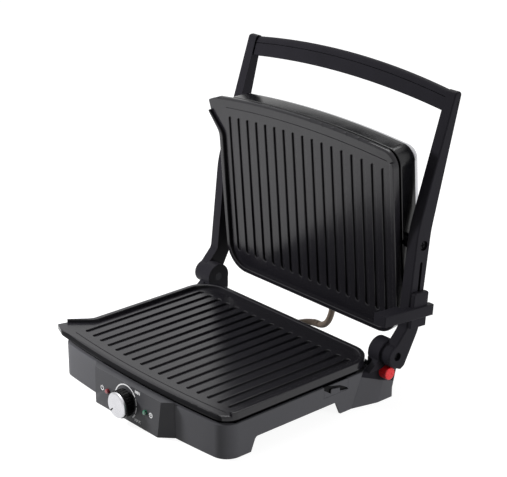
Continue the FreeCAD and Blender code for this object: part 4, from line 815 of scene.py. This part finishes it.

# %% [markdown]
# The lock bar drops into a catch in the right wall. On the real base it is an opening, dark
# inside with shade, with a grey tongue that stands up in it. The opening is a black plate set back
# in the wall, painted shade for that shadowed inside; the two grey lips in front of it are flat
# outlines, drawn on the wall's plane and extruded.

# %% Lock catch
CATCH_BACK, CATCH_DEEP, CATCH_FACE = 144.5, 145.2, 147.0
CATCH_PLATES = [
    # The set-back plate is black: painted shade for the shadowed inside of the opening.
    (CATCH_BACK, CATCH_DEEP, 1, [(34.2, 27.7), (70.8, 27.7), (70.8, 40.8), (34.2, 40.8)]),
    (CATCH_DEEP, CATCH_FACE, 0, [(41, 40.9), (46, 39.7), (57, 36.9), (65, 33), (70.8, 29.2),
                                 (70.8, 40.9)]),
    (CATCH_DEEP, CATCH_FACE, 0, [(34.2, 27.7), (70.8, 27.7), (66, 28.3), (58.6, 29.4),
                                 (58.0, 33.6), (46.0, 35.4), (44.5, 34.0), (44.5, 30.6),
                                 (34.2, 37.5)]),
]


def side_plate(bm, start, end, paint, outline):
    """An outline on the side wall's plane, given as y and z, extruded along x."""
    low = bm.faces.new([bm.verts.new(at(start, y, z)) for y, z in outline])
    grown = bmesh.ops.extrude_face_region(bm, geom=[low])["geom"]
    top = [g for g in grown if isinstance(g, bmesh.types.BMVert)]
    bmesh.ops.translate(bm, verts=top, vec=Vector((end - start, 0, 0)) * MM)
    for face in {f for v in list(low.verts) + top for f in v.link_faces}:
        face.material_index = paint


bm = bmesh.new()
for plate in CATCH_PLATES:
    side_plate(bm, *plate)
bmesh.ops.recalc_face_normals(bm, faces=bm.faces)
# The second finish, black gloss, is painted shade on the set-back plate.
catch = new_piece("lock_catch", bm, "base", "black_plastic", "spark_textured_abs",
                  "black_gloss_abs")
round_edges(catch, 0.25, 2)
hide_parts("lock_keeper")
print("lock catch in", len(CATCH_PLATES), "plates")

# %% [markdown]
# Screw heads sit sunk in the arms. Each is a short cylinder with a rounded rim; the cross for the
# driver is cut out of its top by slicing it with planes and pushing the cross down.

# %% Screw heads
HEAD_ROUND = 0.3
CROSS_REACH, CROSS_HALF, CROSS_SINK = 0.62, 0.13, 0.6


def cross_head(bm, spot, way, radius, height):
    """A round screw head with a driver's cross, its seat on the spot, its top along a way."""
    made = bmesh.ops.create_cone(bm, cap_ends=True, segments=32, radius1=radius * MM,
                                 radius2=radius * MM, depth=height * MM)["verts"]
    bmesh.ops.translate(bm, verts=made, vec=(0, 0, height * MM / 2))
    rim = {e for v in made for e in v.link_edges if all(c.co.z > height * MM / 2 for c in e.verts)}
    bmesh.ops.bevel(bm, geom=list(rim), offset=height * HEAD_ROUND * MM, affect="EDGES", segments=3,
                    profile=0.5, material=-1)
    arm, half = radius * CROSS_REACH * MM, radius * CROSS_HALF * MM
    head = [v for v in bm.verts if v.co.length < 2 * radius * MM]
    for axis in (0, 1):
        for level in (-arm, -half, half, arm):
            faces = {f for v in head if v.is_valid for f in v.link_faces}
            edges = {e for f in faces for e in f.edges}
            point, normal = Vector((0, 0, 0)), Vector((0, 0, 0))
            point[axis], normal[axis] = level, 1.0
            bmesh.ops.bisect_plane(bm, geom=list(faces) + list(edges), dist=1e-8, plane_co=point,
                                   plane_no=normal)
            head = [v for v in bm.verts if v.co.length < 2 * radius * MM]
    cross = []
    for face in {f for v in head for f in v.link_faces}:
        spot_x, spot_y, spot_z = face.calc_center_median()
        near, far = sorted((abs(spot_x), abs(spot_y)))
        if face.normal.z > 0.9 and spot_z > 0.9 * height * MM and near < half and far < arm:
            cross.append(face)
    grown = bmesh.ops.extrude_face_region(bm, geom=cross)["geom"]
    sunk = [g for g in grown if isinstance(g, bmesh.types.BMVert)]
    bmesh.ops.translate(bm, verts=sunk, vec=(0, 0, -CROSS_SINK * height * MM))
    bmesh.ops.delete(bm, geom=[f for f in cross if f.is_valid], context="FACES_ONLY")
    turn = way.to_track_quat("Z", "Y").to_matrix().to_4x4()
    head = [v for v in bm.verts if v.co.length < 2 * radius * MM]
    bmesh.ops.transform(bm, matrix=Matrix.Translation(spot) @ turn, verts=head)


def screw_heads(name, node, spot, radius, height):
    """A pair of heads, one on each side, that stand in for a node's plain ones."""
    bm = bmesh.new()
    for side in (1, -1):
        cross_head(bm, at(side * spot[0], *spot[1:]), Vector((side, 0, 0)), radius, height)
    piece = new_piece(name, bm, "arms", "fastener_steel", "blackened_steel")
    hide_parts(node)


screw_heads("pivot_screw_heads", "lid_pivot_screws", (165.2, 161, 182), 5.4, 2.6)
screw_heads("handle_screw_heads", "handle_screws", (168.0, 206.8, 335.5), 2.3, 1.8)
print("screw heads made")
